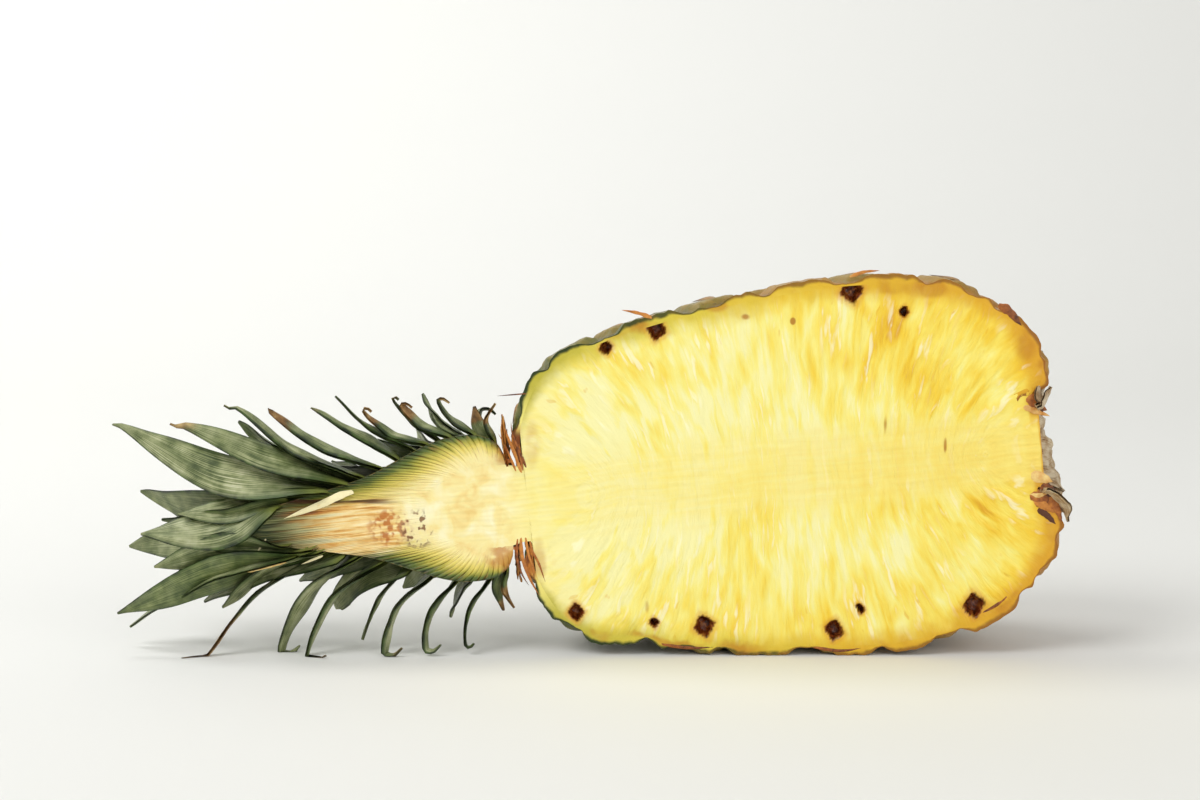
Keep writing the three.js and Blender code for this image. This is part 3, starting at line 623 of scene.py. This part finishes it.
def add_blade(piece, index, spine, across, outward, width, near, twist, age, hidden=0, long=28, wide=9):
    """A channelled blade: its section runs over the outer face and back under the inner one.
    `hidden` is the share of its length inside the pack, `long` and `wide` are its faces each way."""
    loop = 2 * wide
    halved = near == 0

    def place(s, t):
        share = min(1.0, max(0.0, (s * (long + 2) - 1) / long))
        middle, tangent = spine.point(share), spine.tangent(share)
        side = (across - tangent * across.dot(tangent)).normalized()
        turned = twist * (0.72 if halved else 1) + 24 * math.sin(9 * share + index) * ease(0.5, 1, share)
        side.rotate(Matrix.Rotation(math.radians(turned) * ease(0.08, 0.6, share), 3, tangent))
        face = side.cross(tangent) * outward
        span = 0.5 * (width * min(1, 0.75 + 0.9 * share) * (1 - share**2.6) + 0.9)
        half = lerp(BLADE_ROOT, BLADE_TIP, share) / 2
        part = t * loop
        over = part <= wide
        v = part / wide if over else 2 - part / wide
        front = near * ease(0.7 * hidden, 1.4 * hidden, share) if hidden else near
        v = front + (1 - front) * v
        edge = min(v - front, 1 - v) / (1 - front)
        thin = lerp(0.45, 1, ease(0, 0.18, 1 - v)) * lerp(0.8 if halved else 0.45, 1, ease(0, 0.12, v - front))
        if s in (0, 1):
            thin = 0
        wave = 0.5 * math.sin(7 * share + index * 2.4) * v * v * ease(0.2, 0.6, share)
        wave += 0.35 * rough((share * 9, v * 2, index), 1)
        ridge = 0.09 * math.cos(v * 26) * ease(0, 0.2, edge)
        height = (half * thin + ridge) if over else -half * thin
        height += wave * min(1, span / 5) - BLADE_CHANNEL * 2 * span * v * v
        point = middle + side * (v * span) + face * height
        point += BEHIND * (ROOT_SINK * (1 - ease(0.4 * hidden, 0.95 * hidden, share)) if hidden else 0)
        point.z = max(point.z, 0.1 + 0.2 * draw(index, 1))
        cut = 1 - ease(0.08, 0.3, v) if halved else ease(0.12, 0.02, edge)
        dry = age * ease(1 - 0.45 * age - 0.05, 1.02 - 0.2 * age, share)
        run = max(0, share - hidden) / (1 - hidden)
        return point, {"run": run, "tone": draw(index, 9), "face": 0, "age": dry, "cut": cut, "side": v,
                       "count": index}

    made = piece.sheet(long + 2, loop, place)
    piece.close(made)


def add_ring(piece, columns, ring):
    """The half ring that a row of bracts or scales grows from."""
    for outer in (True, False):
        piece.sheet(columns, 60, lambda s, t: (ring(s, math.pi * t, outer), {"tone": t}))
    bmesh.ops.bridge_loops(piece.mesh, edges=[e for e in piece.mesh.edges if e.is_boundary])


def build_neck_bracts():
    piece = Piece("dry_neck_bracts", *BLADE_VALUES)

    def ring(s, turn, outer):
        return crown_point(lerp(1.8, 3.8, s), 15.6 - 0.5 * abs(2 * s - 1) if outer else 14.2, turn)

    add_ring(piece, 4, ring)
    for k in range(NECK_BRACTS):
        turn = math.pi * (k / 5 + 0.5 * draw(k, 11)) / (NECK_BRACTS / 5 - 0.5)
        reach = 23 + 8 * draw(k, 12)
        lean = 1.2 * draw(k, 13)
        points = [crown_point(2.9, 13.8, turn), crown_point(3.3, 18, turn), crown_point(3.3, 22, turn)]
        points.append(crown_point(2.6 + lean, reach, turn + 0.1 * (draw(k, 14) - 0.5)))
        across = facing_back(crown_axis.cross(crown_point(0, 1, turn) - NECK))
        near = 0 if turn < 0.12 or turn > math.pi - 0.12 else -1
        add_blade(piece, k, Path(points, centripetal=True, steps=60), across, 0.4, 2 + 4 * draw(k, 15),
                  near, 60 * (draw(k, 16) - 0.5), 1, long=12, wide=4)
    piece.finish([bract_finish()], "neck_bract", "neck_bracts")


# Strips that the knife tore up or that the fruit had shed: points from the neck in the cut plane,
# in millimetres, then how far they stand proud, width, and how old they look.
STRIPS = [
    ((168, 36.5), (170.5, 33.5), (174.5, 31.5), 0.3, 4.2, 0.75),
    ((166.5, 33), (170, 31.6), (175.5, 29.6), 0.5, 2.2, 0.45),
    ((170.5, 36), (172.2, 33.5), (172.8, 29.5), 0.6, 1.6, 1.0),
    ((170, 4), (173.5, 1.8), (177.5, 1), 0.3, 4.6, 0.75),
    ((171, 1.6), (174.5, -0.6), (178, -3), 0.5, 3.0, 0.6),
    ((172, -1.5), (175, -3.5), (178.5, -7), 0.4, 2.4, 1.0),
    ((169.5, 3), (172.5, 3), (176, 4), 0.6, 1.6, 0.35),
    ((169.5, 9.5), (173, 9), (177, 7.5), 0.4, 4.0, 0.35),
    ((173, 7), (177, 3), (179, -2), 0.3, 4.0, 0.9),
    ((175, 3), (178.5, -1.5), (180.4, -6), 0.5, 3.0, 0.7),
    ((-55.5, 4.2), (-59, 3.4), (-66, 0.2), (-73, -2.6), (-79, -5), 1.3, 2.6, 0.0),
    ((-84.8, -11.5), (-86.3, -14), (-88.5, -17), 0.8, 0.8, 0.0),
    ((-66, -17.5), (-69, -18.6), (-73.5, -20.5), 0.9, 0.9, 0.0),
    ((-92, -22.5), (-86, -20.8), (-78, -19.8), 0.9, 2.6, 0.3),
    ((44, 62.2), (39, 63.9), (33.5, 64.9), 0.4, 1.3, 0.6),
    ((108.5, 75.8), (113, 77.4), (118.4, 77.9), 0.4, 1.2, 0.6),
    ((3.2, 37.2), (-2, 36.8), (-7.8, 36.3), 0.3, 0.5, 0.9),
    ((157.5, 66.5), (161, 64.5), (165.5, 59.5), 0.4, 3.0, 0.8),
    ((0.4, 10.4), (-1.8, 17), (-4.6, 24), (-6.2, 29), 0.7, 1.2, 0.6),
    ((1, 11), (-0.4, 18), (-2.6, 24), (-3, 28), 0.7, 0.9, 0.75),
    ((-1.2, 10.6), (-3.4, 16), (-5.6, 21), (-7.4, 24), 0.6, 0.8, 0.65),
    ((2, 12), (1, 15), (-1, 19), (-1.6, 23), 0.6, 0.8, 0.85),
    ((0, -11), (0.6, -18), (3, -25), (6.4, -31.5), 0.7, 1.3, 0.65),
    ((-1, -11.4), (-1.2, -18), (0.6, -24), (3, -28), 0.7, 0.9, 0.8),
    ((1.6, -11), (2.8, -17.5), (4, -21), (4.6, -26), 0.7, 0.9, 0.6),
    ((3, -12), (4, -16), (6, -20), (8.4, -27), 0.5, 0.8, 0.7),
    ((46, -47.6), (56, -49), (66, -48.7), 0.3, 1.2, 0.8),
    ((98, -48.8), (107, -50), (115, -49), 0.3, 1.2, 0.8),
    ((163, -31), (158.5, -34.8), (153, -37.8), 0.3, 1.2, 0.8),
]


def build_torn_strips():
    piece = Piece("torn_strips", "age")
    for index, (*spots, proud, width, age) in enumerate(STRIPS):
        last = len(spots) - 1
        points = []
        for step, (x, z) in enumerate(spots):
            rise = proud * math.sin(math.pi * (0.1 + 0.75 * step / last)) - 0.3
            points.append(Vector((NECK.x + x, CUT - rise, NECK.z + z)))
        spine = Path(points, centripetal=True, steps=40)

        def place(s, t):
            turn = 2 * math.pi * t
            middle, tangent = spine.point(s), spine.tangent(s)
            side = tangent.cross(BEHIND).normalized()
            side.rotate(Matrix.Rotation(1.2 * (s - 0.5) * (draw(index, 51) - 0.5), 3, tangent))
            half = width / 2 * (1 - s**3) * min(1, 0.5 + 3 * s) * (1 + 0.3 * rough((s * 6, index, 0), 1))
            flat = 0 if s in (0, 1) else 0.12 + 0.1 * half
            point = middle + side * (half * math.cos(turn)) + side.cross(tangent) * (flat * math.sin(turn))
            return point, {"age": age + 0.25 * s * age}

        piece.close(piece.sheet(18, 8, place))
    piece.finish([strip_finish()], "dry_scale", None)


def build_base_scales():
    piece = Piece("dry_base_scales", *BLADE_VALUES)

    def ring(s, turn, outer):
        radius = 15.8 if outer else 13.6
        along = lerp(172.2, 174.6, s) + 0.5 * rough((turn / math.pi * 25, s, radius), 1) * s
        return fruit_point(along, radius + 0.5 * s, turn, RIND_THICKNESS)

    add_ring(piece, 6, ring)
    for k in range(BASE_SCALES):
        turn = math.pi * (k / 3 + 0.4 * draw(k, 21)) / (BASE_SCALES / 3 - 0.2)
        low = ease(0.5, -0.6, -math.cos(turn))
        reach = 18.5 + 4 * draw(k, 22) + 5 * low
        stand = 176.5 + 2.4 * draw(k, 23) + 3.6 * low
        points = [fruit_point(a, r, turn, 0) for a, r in (
            (173.2, 13.9), (175.4, 15), (stand - 1.6, (reach + 15) / 2), (stand, reach))]
        across = facing_back(fruit_axis.cross(fruit_point(0, 1, turn, 0) - NECK))
        add_blade(piece, k, Path(points, centripetal=True, steps=60), across, 1, 8 + 5 * draw(k, 24), -1,
                  30 * (draw(k, 25) - 0.5), 1, long=14, wide=8)
    piece.finish([scale_finish()], "dry_scale", "base_scales")


# ---- finishes
class Wire:
    """A socket that can be reckoned with."""

    def __init__(self, finish, socket):
        self.finish = finish
        self.socket = socket

    def reckon(self, operation, *others, swap=False):
        values = [self, *others]
        if swap:
            values.reverse()
        return self.finish.node("Math", dict(enumerate(values)), operation=operation)

    def __add__(self, other):
        return self.reckon("ADD", other)

    def __sub__(self, other):
        return self.reckon("SUBTRACT", other)

    def __rsub__(self, other):
        return self.reckon("SUBTRACT", other, swap=True)

    def __mul__(self, other):
        return self.reckon("MULTIPLY", other)

    def __truediv__(self, other):
        return self.reckon("DIVIDE", other)

    __radd__ = __add__
    __rmul__ = __mul__

    def most(self, other):
        return self.reckon("MAXIMUM", other)

    def size(self):
        return self.reckon("ABSOLUTE")

    def sine(self):
        return self.reckon("SINE")

    def ramp(self, low, high, first=0, last=1):
        """Eases from first to last while the value goes from low to high."""
        if low > high:
            low, high, first, last = high, low, last, first
        inputs = {0: self, 1: low, 2: high, 3: first, 4: last}
        return self.finish.node("MapRange", inputs, interpolation_type="SMOOTHSTEP")


def screen_colour(colour):
    """Red, green and blue read in the screen's scale, as the shader wants them. Sockets pass."""
    if isinstance(colour, Wire):
        return colour
    parts = (c / 255 for c in colour)
    return tuple(p / 12.92 if p <= 0.04 else ((p + 0.055) / 1.055) ** 2.4 for p in parts) + (1,)


class Finish:
    """A material on the standard surface shader."""

    def __init__(self, name, roughness, **constants):
        self.material = bpy.data.materials.new(name)
        self.material.use_nodes = True
        self.tree = self.material.node_tree
        self.surface = self.tree.nodes["Principled BSDF"]
        for key, value in {"Roughness": roughness, "Coat_Roughness": 0.12, **constants}.items():
            self.surface.inputs[key.replace("_", " ")].default_value = value

    def node(self, kind, inputs, out=0, stops=None, **settings):
        made = self.tree.nodes.new("ShaderNode" + kind)
        for key, value in settings.items():
            setattr(made, key, value)
        if stops:
            ramp = made.color_ramp
            while len(ramp.elements) < len(stops):
                ramp.elements.new(1)
            for element, (place, colour) in zip(ramp.elements, stops):
                element.position = place
                element.color = screen_colour(colour)
        for key, value in inputs.items():
            if isinstance(value, Wire):
                self.tree.links.new(value.socket, made.inputs[key])
            else:
                made.inputs[key].default_value = value
        return Wire(self, made.outputs[out])

    def values(self, *names):
        """Values that the piece carries on its points."""
        return [self.node("Attribute", {}, "Fac", attribute_name=name) for name in names]

    def place(self):
        return self.node("TexCoord", {}, "Object")

    def grain(self, scale, detail=2.0, twist=0.0, where=None):
        inputs = {"Vector": where or self.place(), "Scale": scale, "Detail": detail, "Distortion": twist}
        return self.node("TexNoise", inputs)

    def streaks(self, detail, *where, twist=0.0):
        """Noise read at values of the piece, so that it runs along its fibres."""
        return self.grain(1, detail, twist, self.node("CombineXYZ", dict(enumerate(where))))

    def colours(self, factor, *stops):
        return self.node("ValToRGB", {0: factor}, stops=stops)

    def mix(self, factor, low, high):
        return self.node("Mix", {0: factor, 6: screen_colour(low), 7: screen_colour(high)}, 2, data_type="RGBA")

    def set(self, **inputs):
        for key, wire in inputs.items():
            self.tree.links.new(wire.socket, self.surface.inputs[key.replace("_", " ")])
        return self.material

    def bump(self, height, distance, strength=1.0):
        """Relief too fine for the mesh, of a height of 0 to 1 over a distance in metres."""
        return self.node("Bump", {"Height": height, "Distance": distance, "Strength": strength})

    def spot(self, x, z, wide, high):
        """1 at a place of the cut face, given in millimetres from the neck, falling to 0 round it."""
        centre = ((NECK.x + x) * MM, 0, (NECK.z + z) * MM)
        inputs = {"Vector": self.place(), "Location": centre, "Scale": (wide * MM, 1000, high * MM)}
        where = self.node("Mapping", inputs, vector_type="TEXTURE")
        return self.node("VectorMath", {0: where}, "Value", operation="LENGTH").ramp(1, 0.2)

    def blotch(self, x, z, wide, high, wobble):
        """The same with a ragged edge."""
        return (self.spot(x, z, wide, high) * (wobble * 3.5 + 1)).ramp(0.08, 1.05)

    def stained(self, colour, stain, strength, wobble, *places):
        """A colour with blotches of a stain: x, z, width and height of each in millimetres."""
        for place in places:
            colour = self.mix(self.blotch(*place, wobble) * strength, colour, stain)
        return colour


CREAM = (246, 240, 172)
PALE = (246, 234, 132)
YELLOW = (245, 222, 96)
DEEP = (240, 201, 54)
GOLD = (222, 166, 30)
AMBER = (186, 118, 22)
STAIN = (190, 118, 40)
GOLD_SLITS = [
    (42.3, -35.1, 1.2, 3.4), (113.4, -36.4, 1.2, 3), (126.7, 64.1, 1.4, 2.6), (74.4, 62.6, 2.2, 1.6),
    (90, 61.2, 1.4, 1.8), (121, 27, 0.9, 5), (60, -38, 0.8, 3), (141, 20, 0.9, 4),
]


def under_rind(f, colour, along, inset, wobble):
    """The flesh under the skin, olive at the neck end and golden to amber at the base."""
    fringe = inset + wobble * 4 + (f.grain(160, 2) - 0.5) * 6
    fringe = fringe + (f.grain(60, 1) - 0.5) * 5
    near_skin = f.colours(
        along / FRUIT_LENGTH + wobble * 0.3,
        (0.0, (178, 170, 58)), (0.3, (216, 196, 66)), (0.6, (222, 180, 44)), (1, (218, 160, 34)),
    )
    colour = f.mix(fringe.ramp(9.5, 1) * along.ramp(0, 8), colour, near_skin)
    stain = f.grain(48, 2, 0.5)
    colour = f.mix(fringe.ramp(4.4, 2.0) * stain.ramp(0.52, 0.68) * along.ramp(0, 8) * 0.75, colour, AMBER)
    colour = f.stained(colour, AMBER, 0.55, wobble, (134, 72, 12, 5), (167, 53, 6, 10), (64, 66, 7, 3))
    colour = f.stained(colour, AMBER, 0.4, wobble, (4, 20, 4, 12), (6, -20, 4, 12), (177.5, -8, 5, 10))
    return f.stained(colour, STAIN, 0.8, wobble, (171, 35.5, 6, 8), (173.5, 8, 7, 5), (177, 1, 7, 7))


def stem_colour(f):
    """Cream with pale blotches, alike on the cut stem and on the leaf bases next to it."""
    blotch = f.grain(150, 3, 0.5)
    return f.colours(
        (blotch - 0.5) * 1.5 + 0.5, (0.1, (238, 204, 124)), (0.45, (246, 230, 160)), (0.8, (250, 243, 200))
    )


def flesh_finish():
    f = Finish("wet_flesh", 0.33, Specular_IOR_Level=0.3, Coat_Weight=0.06)
    along, out, rim, fibre, reach, cup, halo = f.values(*FLESH_VALUES)
    away = out.size()
    wobble = f.grain(90, 2) - 0.5
    lane = fibre + wobble * 0.03
    fine = f.streaks(3, lane * 46, reach * 5, twist=0.4)
    broad = f.streaks(2, lane * 15, reach * 3, twist=0.6)
    cloud = f.grain(34, 2)
    threads = f.streaks(2, lane * 120, reach * 7)
    # The base end is riper than the neck end, and the flesh deepens in streaks that leave the core.
    ripe = along / FRUIT_LENGTH * 0.48 + rim.ramp(-1.5, 1) * 0.16
    ripe = ripe + (broad - 0.5) * 1.25 + (fine - 0.5) * 0.75 + (cloud - 0.5) * 1.3
    body = f.colours(ripe, (0.0, CREAM), (0.22, PALE), (0.46, YELLOW), (0.74, DEEP), (1, GOLD))
    pale = fine.ramp(0.53, 0.66) * f.streaks(1, lane * 9, reach * 2).ramp(0.45, 0.6)
    body = f.mix(pale * 0.65, body, (252, 250, 214))
    slit = f.streaks(1, lane * 34, reach * 9, 7).ramp(0.7, 0.76) * rim.ramp(-1.5, 0.3)
    body = f.mix(slit * 0.5, body, GOLD)
    # The core is plainer, with faint threads that run along it.
    thread = f.streaks(3, along / 26, out * 0.55 + wobble)
    core_tone = along.ramp(-10, 165) * 0.5 + (thread - 0.5) * 0.9 + 0.2
    core_colour = f.colours(core_tone, (0.0, (248, 239, 168)), (0.45, (246, 229, 132)), (1, (241, 211, 96)))
    core = (away + wobble * 9 + (broad - 0.5) * 16).ramp(19, 6) * 0.7
    neck = along.ramp(24, -4)
    colour = f.mix(core.most(neck), body, core_colour)
    colour = f.mix(along.ramp(6, -10), colour, stem_colour(f))
    colour = under_rind(f, colour, along, (1 - rim) * 10 + FLESH_DEPTH, wobble)
    colour = f.stained(colour, (176, 116, 34), 0.9, wobble, *GOLD_SLITS)
    # Brown flower cups, stained round their edges.
    colour = f.mix(halo * (broad * 0.6 + 0.3), colour, (214, 150, 40))
    inside = f.colours(f.grain(420, 3, 1.2), (0.36, (58, 20, 4)), (0.52, (108, 46, 12)), (0.72, (158, 96, 40)))
    colour = f.mix(cup, colour, inside)
    colour = f.stained(colour, STAIN, 0.8, wobble, (-4.5, 24, 7, 11), (0, -23, 9, 9))
    height = fine * 0.5 + threads * 0.35 + broad * 0.6
    return f.set(Base_Color=colour, Roughness=fine * 0.25 + 0.2, Normal=f.bump(height, 0.0008, 0.9))


def rind_finish():
    f = Finish("rind_skin", 0.5, Coat_Weight=0.1)
    edge, tone, share, dry = f.values("edge", "tone", "along", "dry")
    mottle = f.grain(260, 4)
    speck = f.grain(900, 2)
    base = f.colours(
        share + (tone - 0.5) * 0.3 + (mottle - 0.5) * 0.35,
        (0.1, (74, 84, 26)), (0.3, (104, 100, 30)), (0.55, (150, 116, 34)), (0.8, (176, 122, 34)),
        (0.97, (140, 88, 34)),
    )
    groove = f.mix(share.ramp(0.3, 0.9), (70, 62, 18), (196, 128, 34))
    colour = f.mix(edge.ramp(0.78, 1.0) * 0.75, base, groove)
    rim = edge.ramp(0.3, 0.5) * edge.ramp(0.8, 0.6)
    colour = f.mix(rim * mottle.ramp(0.4, 0.7) * 0.7, colour, (170, 150, 96))
    brown = f.mix(speck, (104, 66, 22), (190, 148, 78))
    colour = f.mix(dry.ramp(0.05, 0.9), colour, brown)
    colour = f.mix(dry.ramp(1.4, 2.0), colour, (60, 34, 14))
    colour = f.mix(speck.ramp(0.62, 0.72) * 0.5, colour, (60, 46, 18))
    height = mottle * 0.7 + speck * 0.4
    return f.set(Base_Color=colour, Roughness=mottle * 0.4 + 0.3, Normal=f.bump(height, 0.0006, 0.8))


def rim_finish():
    """The rind where the knife went through it: a thin dark skin on flesh of the flesh's own colour."""
    f = Finish("cut_rind", 0.38, Specular_IOR_Level=0.3, Coat_Weight=0.06)
    depth, share, along, inset = f.values("depth", "along", "axial", "inset")
    mottle = f.grain(300, 3)
    wobble = f.grain(90, 2) - 0.5
    flesh = f.colours(along / FRUIT_LENGTH, (0.0, PALE), (0.5, YELLOW), (1, DEEP))
    colour = under_rind(f, flesh, along, inset, wobble)
    outer = f.colours(
        along / FRUIT_LENGTH + (mottle - 0.5) * 0.5,
        (0.1, (42, 56, 20)), (0.3, (74, 76, 24)), (0.5, (128, 84, 24)), (1, (130, 72, 22)),
    )
    skin = (1 - depth) * 3 + (mottle - 0.5) * 1.4 + wobble * 1.6
    colour = f.mix(skin.ramp(1.6, 0.5) * along.ramp(150, 20, 0.8, 1), colour, outer)
    colour = f.mix(share.ramp(0.1, 0.075), colour, f.mix(mottle.ramp(0.4, 0.6), (120, 62, 18), STAIN))
    return f.set(Base_Color=colour, Normal=f.bump(mottle, 0.0006))


def crown_finish():
    f = Finish(
        "crown_green", 0.45, Subsurface_Weight=0.05, Subsurface_Radius=(0.6, 1, 0.3), Subsurface_Scale=0.001
    )
    run, tone, age, side, count, sliced, face = f.values(*BLADE_VALUES)
    mottle = f.grain(240, 3)
    patch = f.grain(70, 2, 0.4)
    # Blades: grey with wax on their faces, dark green where they are cut, brown where they are dry.
    lines = f.streaks(2, side * 30 + tone * 50, run * 3, count)
    waxy = f.colours(
        (lines - 0.5) * 1.8 + (mottle - 0.5) * 0.9 + (patch - 0.5) * 1.3 + 0.52,
        (0.1, (64, 78, 40)), (0.4, (112, 122, 76)), (0.65, (154, 159, 114)), (1, (196, 197, 160)),
    )
    fresh = f.colours(
        (lines - 0.5) * 1.3 + mottle, (0.2, (42, 60, 26)), (0.55, (84, 101, 46)), (0.9, (132, 142, 76))
    )
    blade = f.mix(tone.ramp(0.2, 0.95) * 0.75, waxy, fresh)
    edge = f.mix(mottle.ramp(0.35, 0.65), (20, 36, 18), (70, 92, 38))
    blade = f.mix(sliced, blade, edge)
    root = f.mix(run.ramp(0.16, 0.0), (52, 72, 28), (120, 128, 52))
    blade = f.mix(run.ramp(0.35, 0.05) * 0.8, blade, root)
    dead = f.colours(mottle, (0.3, (60, 40, 16)), (0.5, (140, 102, 52)), (0.75, (204, 178, 120)))
    blade = f.mix((age * 1.4 + (mottle - 0.5) * 0.5).ramp(0.2, 0.6), blade, dead)
    # Packed leaf bases: cream at the stem, then yellow, then green, with painted shade darkening the grooves
    # between them.
    step = (count * math.pi).sine().size()
    mixed = run + (mottle - 0.5) * 0.1 + (f.streaks(2, count * 0.9, run) - 0.5) * 0.4
    bases = f.colours(
        mixed,
        (0.05, (251, 236, 166)), (0.26, (249, 232, 156)), (0.5, (230, 211, 106)),
        (0.68, (180, 172, 68)), (0.84, (94, 110, 42)), (1, (40, 56, 26)),
    )
    streak = f.streaks(2, count * 2.3, run * 2)
    bases = f.mix(streak.ramp(0.56, 0.7) * run.ramp(0.02, 0.3) * 0.45, bases, (178, 128, 60))
    bases = f.mix((run + (streak - 0.5) * 0.2).ramp(0.3, 0.04), bases, stem_colour(f))
    # Behind the cut the oldest bases have dried in strips.
    husk = f.streaks(3, side * 14, count * 0.5, 3)
    husk_colour = f.colours(
        husk, (0.3, (38, 50, 22)), (0.48, (84, 94, 42)), (0.6, (146, 122, 62)), (0.75, (196, 160, 96))
    )
    bases = f.mix(run.ramp(0.97, 1), bases, husk_colour)
    # The innermost leaves run straight along the crown, tan and orange with a few dark gaps.
    strand = f.streaks(3, side * 7, age * 5, twist=0.3)
    tan = f.colours(
        (strand - 0.5) * 1.9 + (mottle - 0.5) * 0.3 + 0.55 - side * 0.12,
        (0.02, (96, 48, 16)), (0.2, (188, 120, 46)), (0.42, (224, 174, 92)),
        (0.62, (243, 214, 146)), (0.9, (252, 238, 190)),
    )
    green = f.mix(strand.ramp(0.4, 0.6), (58, 72, 44), (140, 142, 92))
    tan = f.mix((age + (strand - 0.5) * 0.3).ramp(0.6, 0.84), tan, green)
    # Painted shade: near-black olive darkens the grooves between the packed bases.
    gap = step.ramp(0.28, 0.0) * run.ramp(0.2, 0.6) * streak.ramp(0.35, 0.6)
    bases = f.mix(gap * 0.8, bases, (36, 40, 16))
    middle = ((side + 0.3).size() + (streak - 0.5) * 0.6).ramp(1.15, 0.6)
    inner = (age.ramp(0.34, 0.5) + (patch - 0.5) * 0.5) * middle
    bases = f.mix(inner.ramp(0.05, 0.8), bases, tan)
    seam = (side - age * 0.9 - 0.1 + (strand - 0.5) * 0.2).size().ramp(0.09, 0.02) * age.ramp(0.36, 0.5)
    bases = f.mix(seam * 0.9, bases, (84, 42, 14))
    grains = f.grain(480, 1, 0.2)
    rot = f.blotch(-43, -8, 11, 9, grains - 0.5)
    bases = f.mix(rot * grains.ramp(0.4, 0.6) * 0.9, bases, f.mix(mottle, (140, 60, 10), (220, 138, 50)))
    cells = f.blotch(-34.5, -8.5, 8, 9, grains - 0.5)
    bases = f.mix(cells * 0.4, bases, (244, 230, 186))
    bases = f.mix(cells * grains.ramp(0.55, 0.64) * 0.9, bases, (122, 76, 34))
    bases = f.stained(bases, STAIN, 0.75, mottle - 0.5, (-4, 19, 8, 9), (-5, -18, 10, 7))
    colour = f.mix(face, blade, bases)
    packed = strand * inner * 0.5 + step * inner.ramp(0.6, 0.2) * run.ramp(0.05, 0.4) * 0.6
    packed = packed + husk * run.ramp(0.97, 1) * 2
    height = lines * 0.5 + mottle * 0.3 + packed * face
    return f.set(Base_Color=colour, Roughness=mottle * 0.3 + 0.32, Normal=f.bump(height, 0.0005, 0.7))


def bract_finish():
    f = Finish("dry_bract", 0.6)
    mottle = f.grain(500, 3)
    (run,) = f.values("run")
    tone = mottle * 0.8 + run * 0.25
    colour = f.colours(tone, (0.3, (132, 68, 20)), (0.5, (196, 118, 40)), (0.75, (222, 174, 98)))
    return f.set(Base_Color=colour, Normal=f.bump(mottle, 0.0004))


def strip_finish():
    f = Finish("dry_strip", 0.6)
    mottle = f.grain(600, 2)
    (age,) = f.values("age")
    colour = f.colours(
        age + (mottle - 0.5) * 0.5,
        (0.05, (248, 236, 186)), (0.3, (238, 206, 130)), (0.6, (206, 134, 52)),
        (0.82, (158, 88, 30)), (1, (84, 42, 14)),
    )
    return f.set(Base_Color=colour, Normal=f.bump(mottle, 0.0003))


def scale_finish():
    f = Finish("dry_scale", 0.75)
    mottle = f.grain(300, 4)
    side, run, count = f.values("side", "run", "count")
    lines = f.streaks(2, side * 14, run * 2, count)
    tone = mottle * 0.6 + lines * 0.4
    colour = f.colours(tone, (0.3, (92, 58, 28)), (0.42, (158, 126, 86)), (0.6, (206, 190, 160)))
    return f.set(Base_Color=colour, Normal=f.bump(lines * 0.5 + mottle * 0.5, 0.0004))


# ---- stage
def build_stage():
    """A sheet of white paper, flat under the fruit and curved up behind it."""
    half_width, front, length, bend, curve, radius = 3.2, -1.6, 4.2, 0.62, 0.8, 0.5
    plain = bmesh.new()
    bmesh.ops.create_grid(plain, x_segments=1, y_segments=40, size=1)
    for vert in plain.verts:
        reach = front + length * (vert.co.y + 1) / 2
        rise = min(1.0, max(0.0, reach - bend) / curve) * math.pi / 2
        height = radius * (1 - math.cos(rise)) + max(0.0, reach - bend - curve)
        vert.co = (vert.co.x * half_width, min(reach, bend) + radius * math.sin(rise), height)
    data = bpy.data.meshes.new("paper_sweep")
    plain.to_mesh(data)
    plain.free()
    data.shade_smooth()
    sweep = bpy.data.objects.new("paper_sweep", data)
    bpy.context.scene.collection.objects.link(sweep)
    f = Finish("white_paper", 0.9)
    f.surface.inputs["Base Color"].default_value = (0.75, 0.75, 0.72, 1)
    data.materials.append(f.material)


def light(name, place, target, size, power):
    """A round lamp at a place, turned to a target, in metres and watts."""
    lamp = bpy.data.lights.new(name, "AREA")
    lamp.shape = "DISK"
    lamp.size = size
    lamp.energy = power
    made = bpy.data.objects.new(name, lamp)
    made.location = place
    made.rotation_euler = (Vector(target) - Vector(place)).to_track_quat("-Z", "Y").to_euler()
    bpy.context.scene.collection.objects.link(made)


def build_camera():
    """The photo's view. The picture spans `width` at the plane of the cut."""
    distance, width = 0.77, 0.3968
    lift = math.radians(8)
    target = Vector((NECK.x + 26.5, CUT, NECK.z + 35)) * MM
    lens = bpy.data.cameras.new("photo_view")
    lens.sensor_width = 36
    lens.lens = lens.sensor_width * distance / width
    camera = bpy.data.objects.new("photo_view", lens)
    camera.location = target + Vector((0, -math.cos(lift), math.sin(lift))) * distance
    camera.rotation_euler = (math.pi / 2 - lift, 0, 0)
    bpy.context.scene.collection.objects.link(camera)
    bpy.context.scene.camera = camera


build_camera()
build_stage()
# The photo's window is to the left, and a softer light fills in from the right.
light("window", (-0.9, -0.7, 1.2), (0, 0, 0.05), 0.9, 12.2)
light("fill", (0.9, -1.2, 0.6), (0, 0, 0.05), 1.4, 8.8)
light("backdrop_light", (-0.6, 0.3, 1.2), (-0.4, 1.2, 0.3), 0.8, 9)
bpy.context.scene.view_settings.view_transform = "Standard"
world = bpy.data.worlds.new("studio")
bpy.context.scene.world = world
world.use_nodes = True
sky = world.node_tree.nodes["Background"]
sky.inputs["Color"].default_value = (1, 1, 1, 1)
sky.inputs["Strength"].default_value = 0.47

build_flesh()
build_rind()
build_crown()
build_neck_bracts()
build_base_scales()
build_torn_strips()
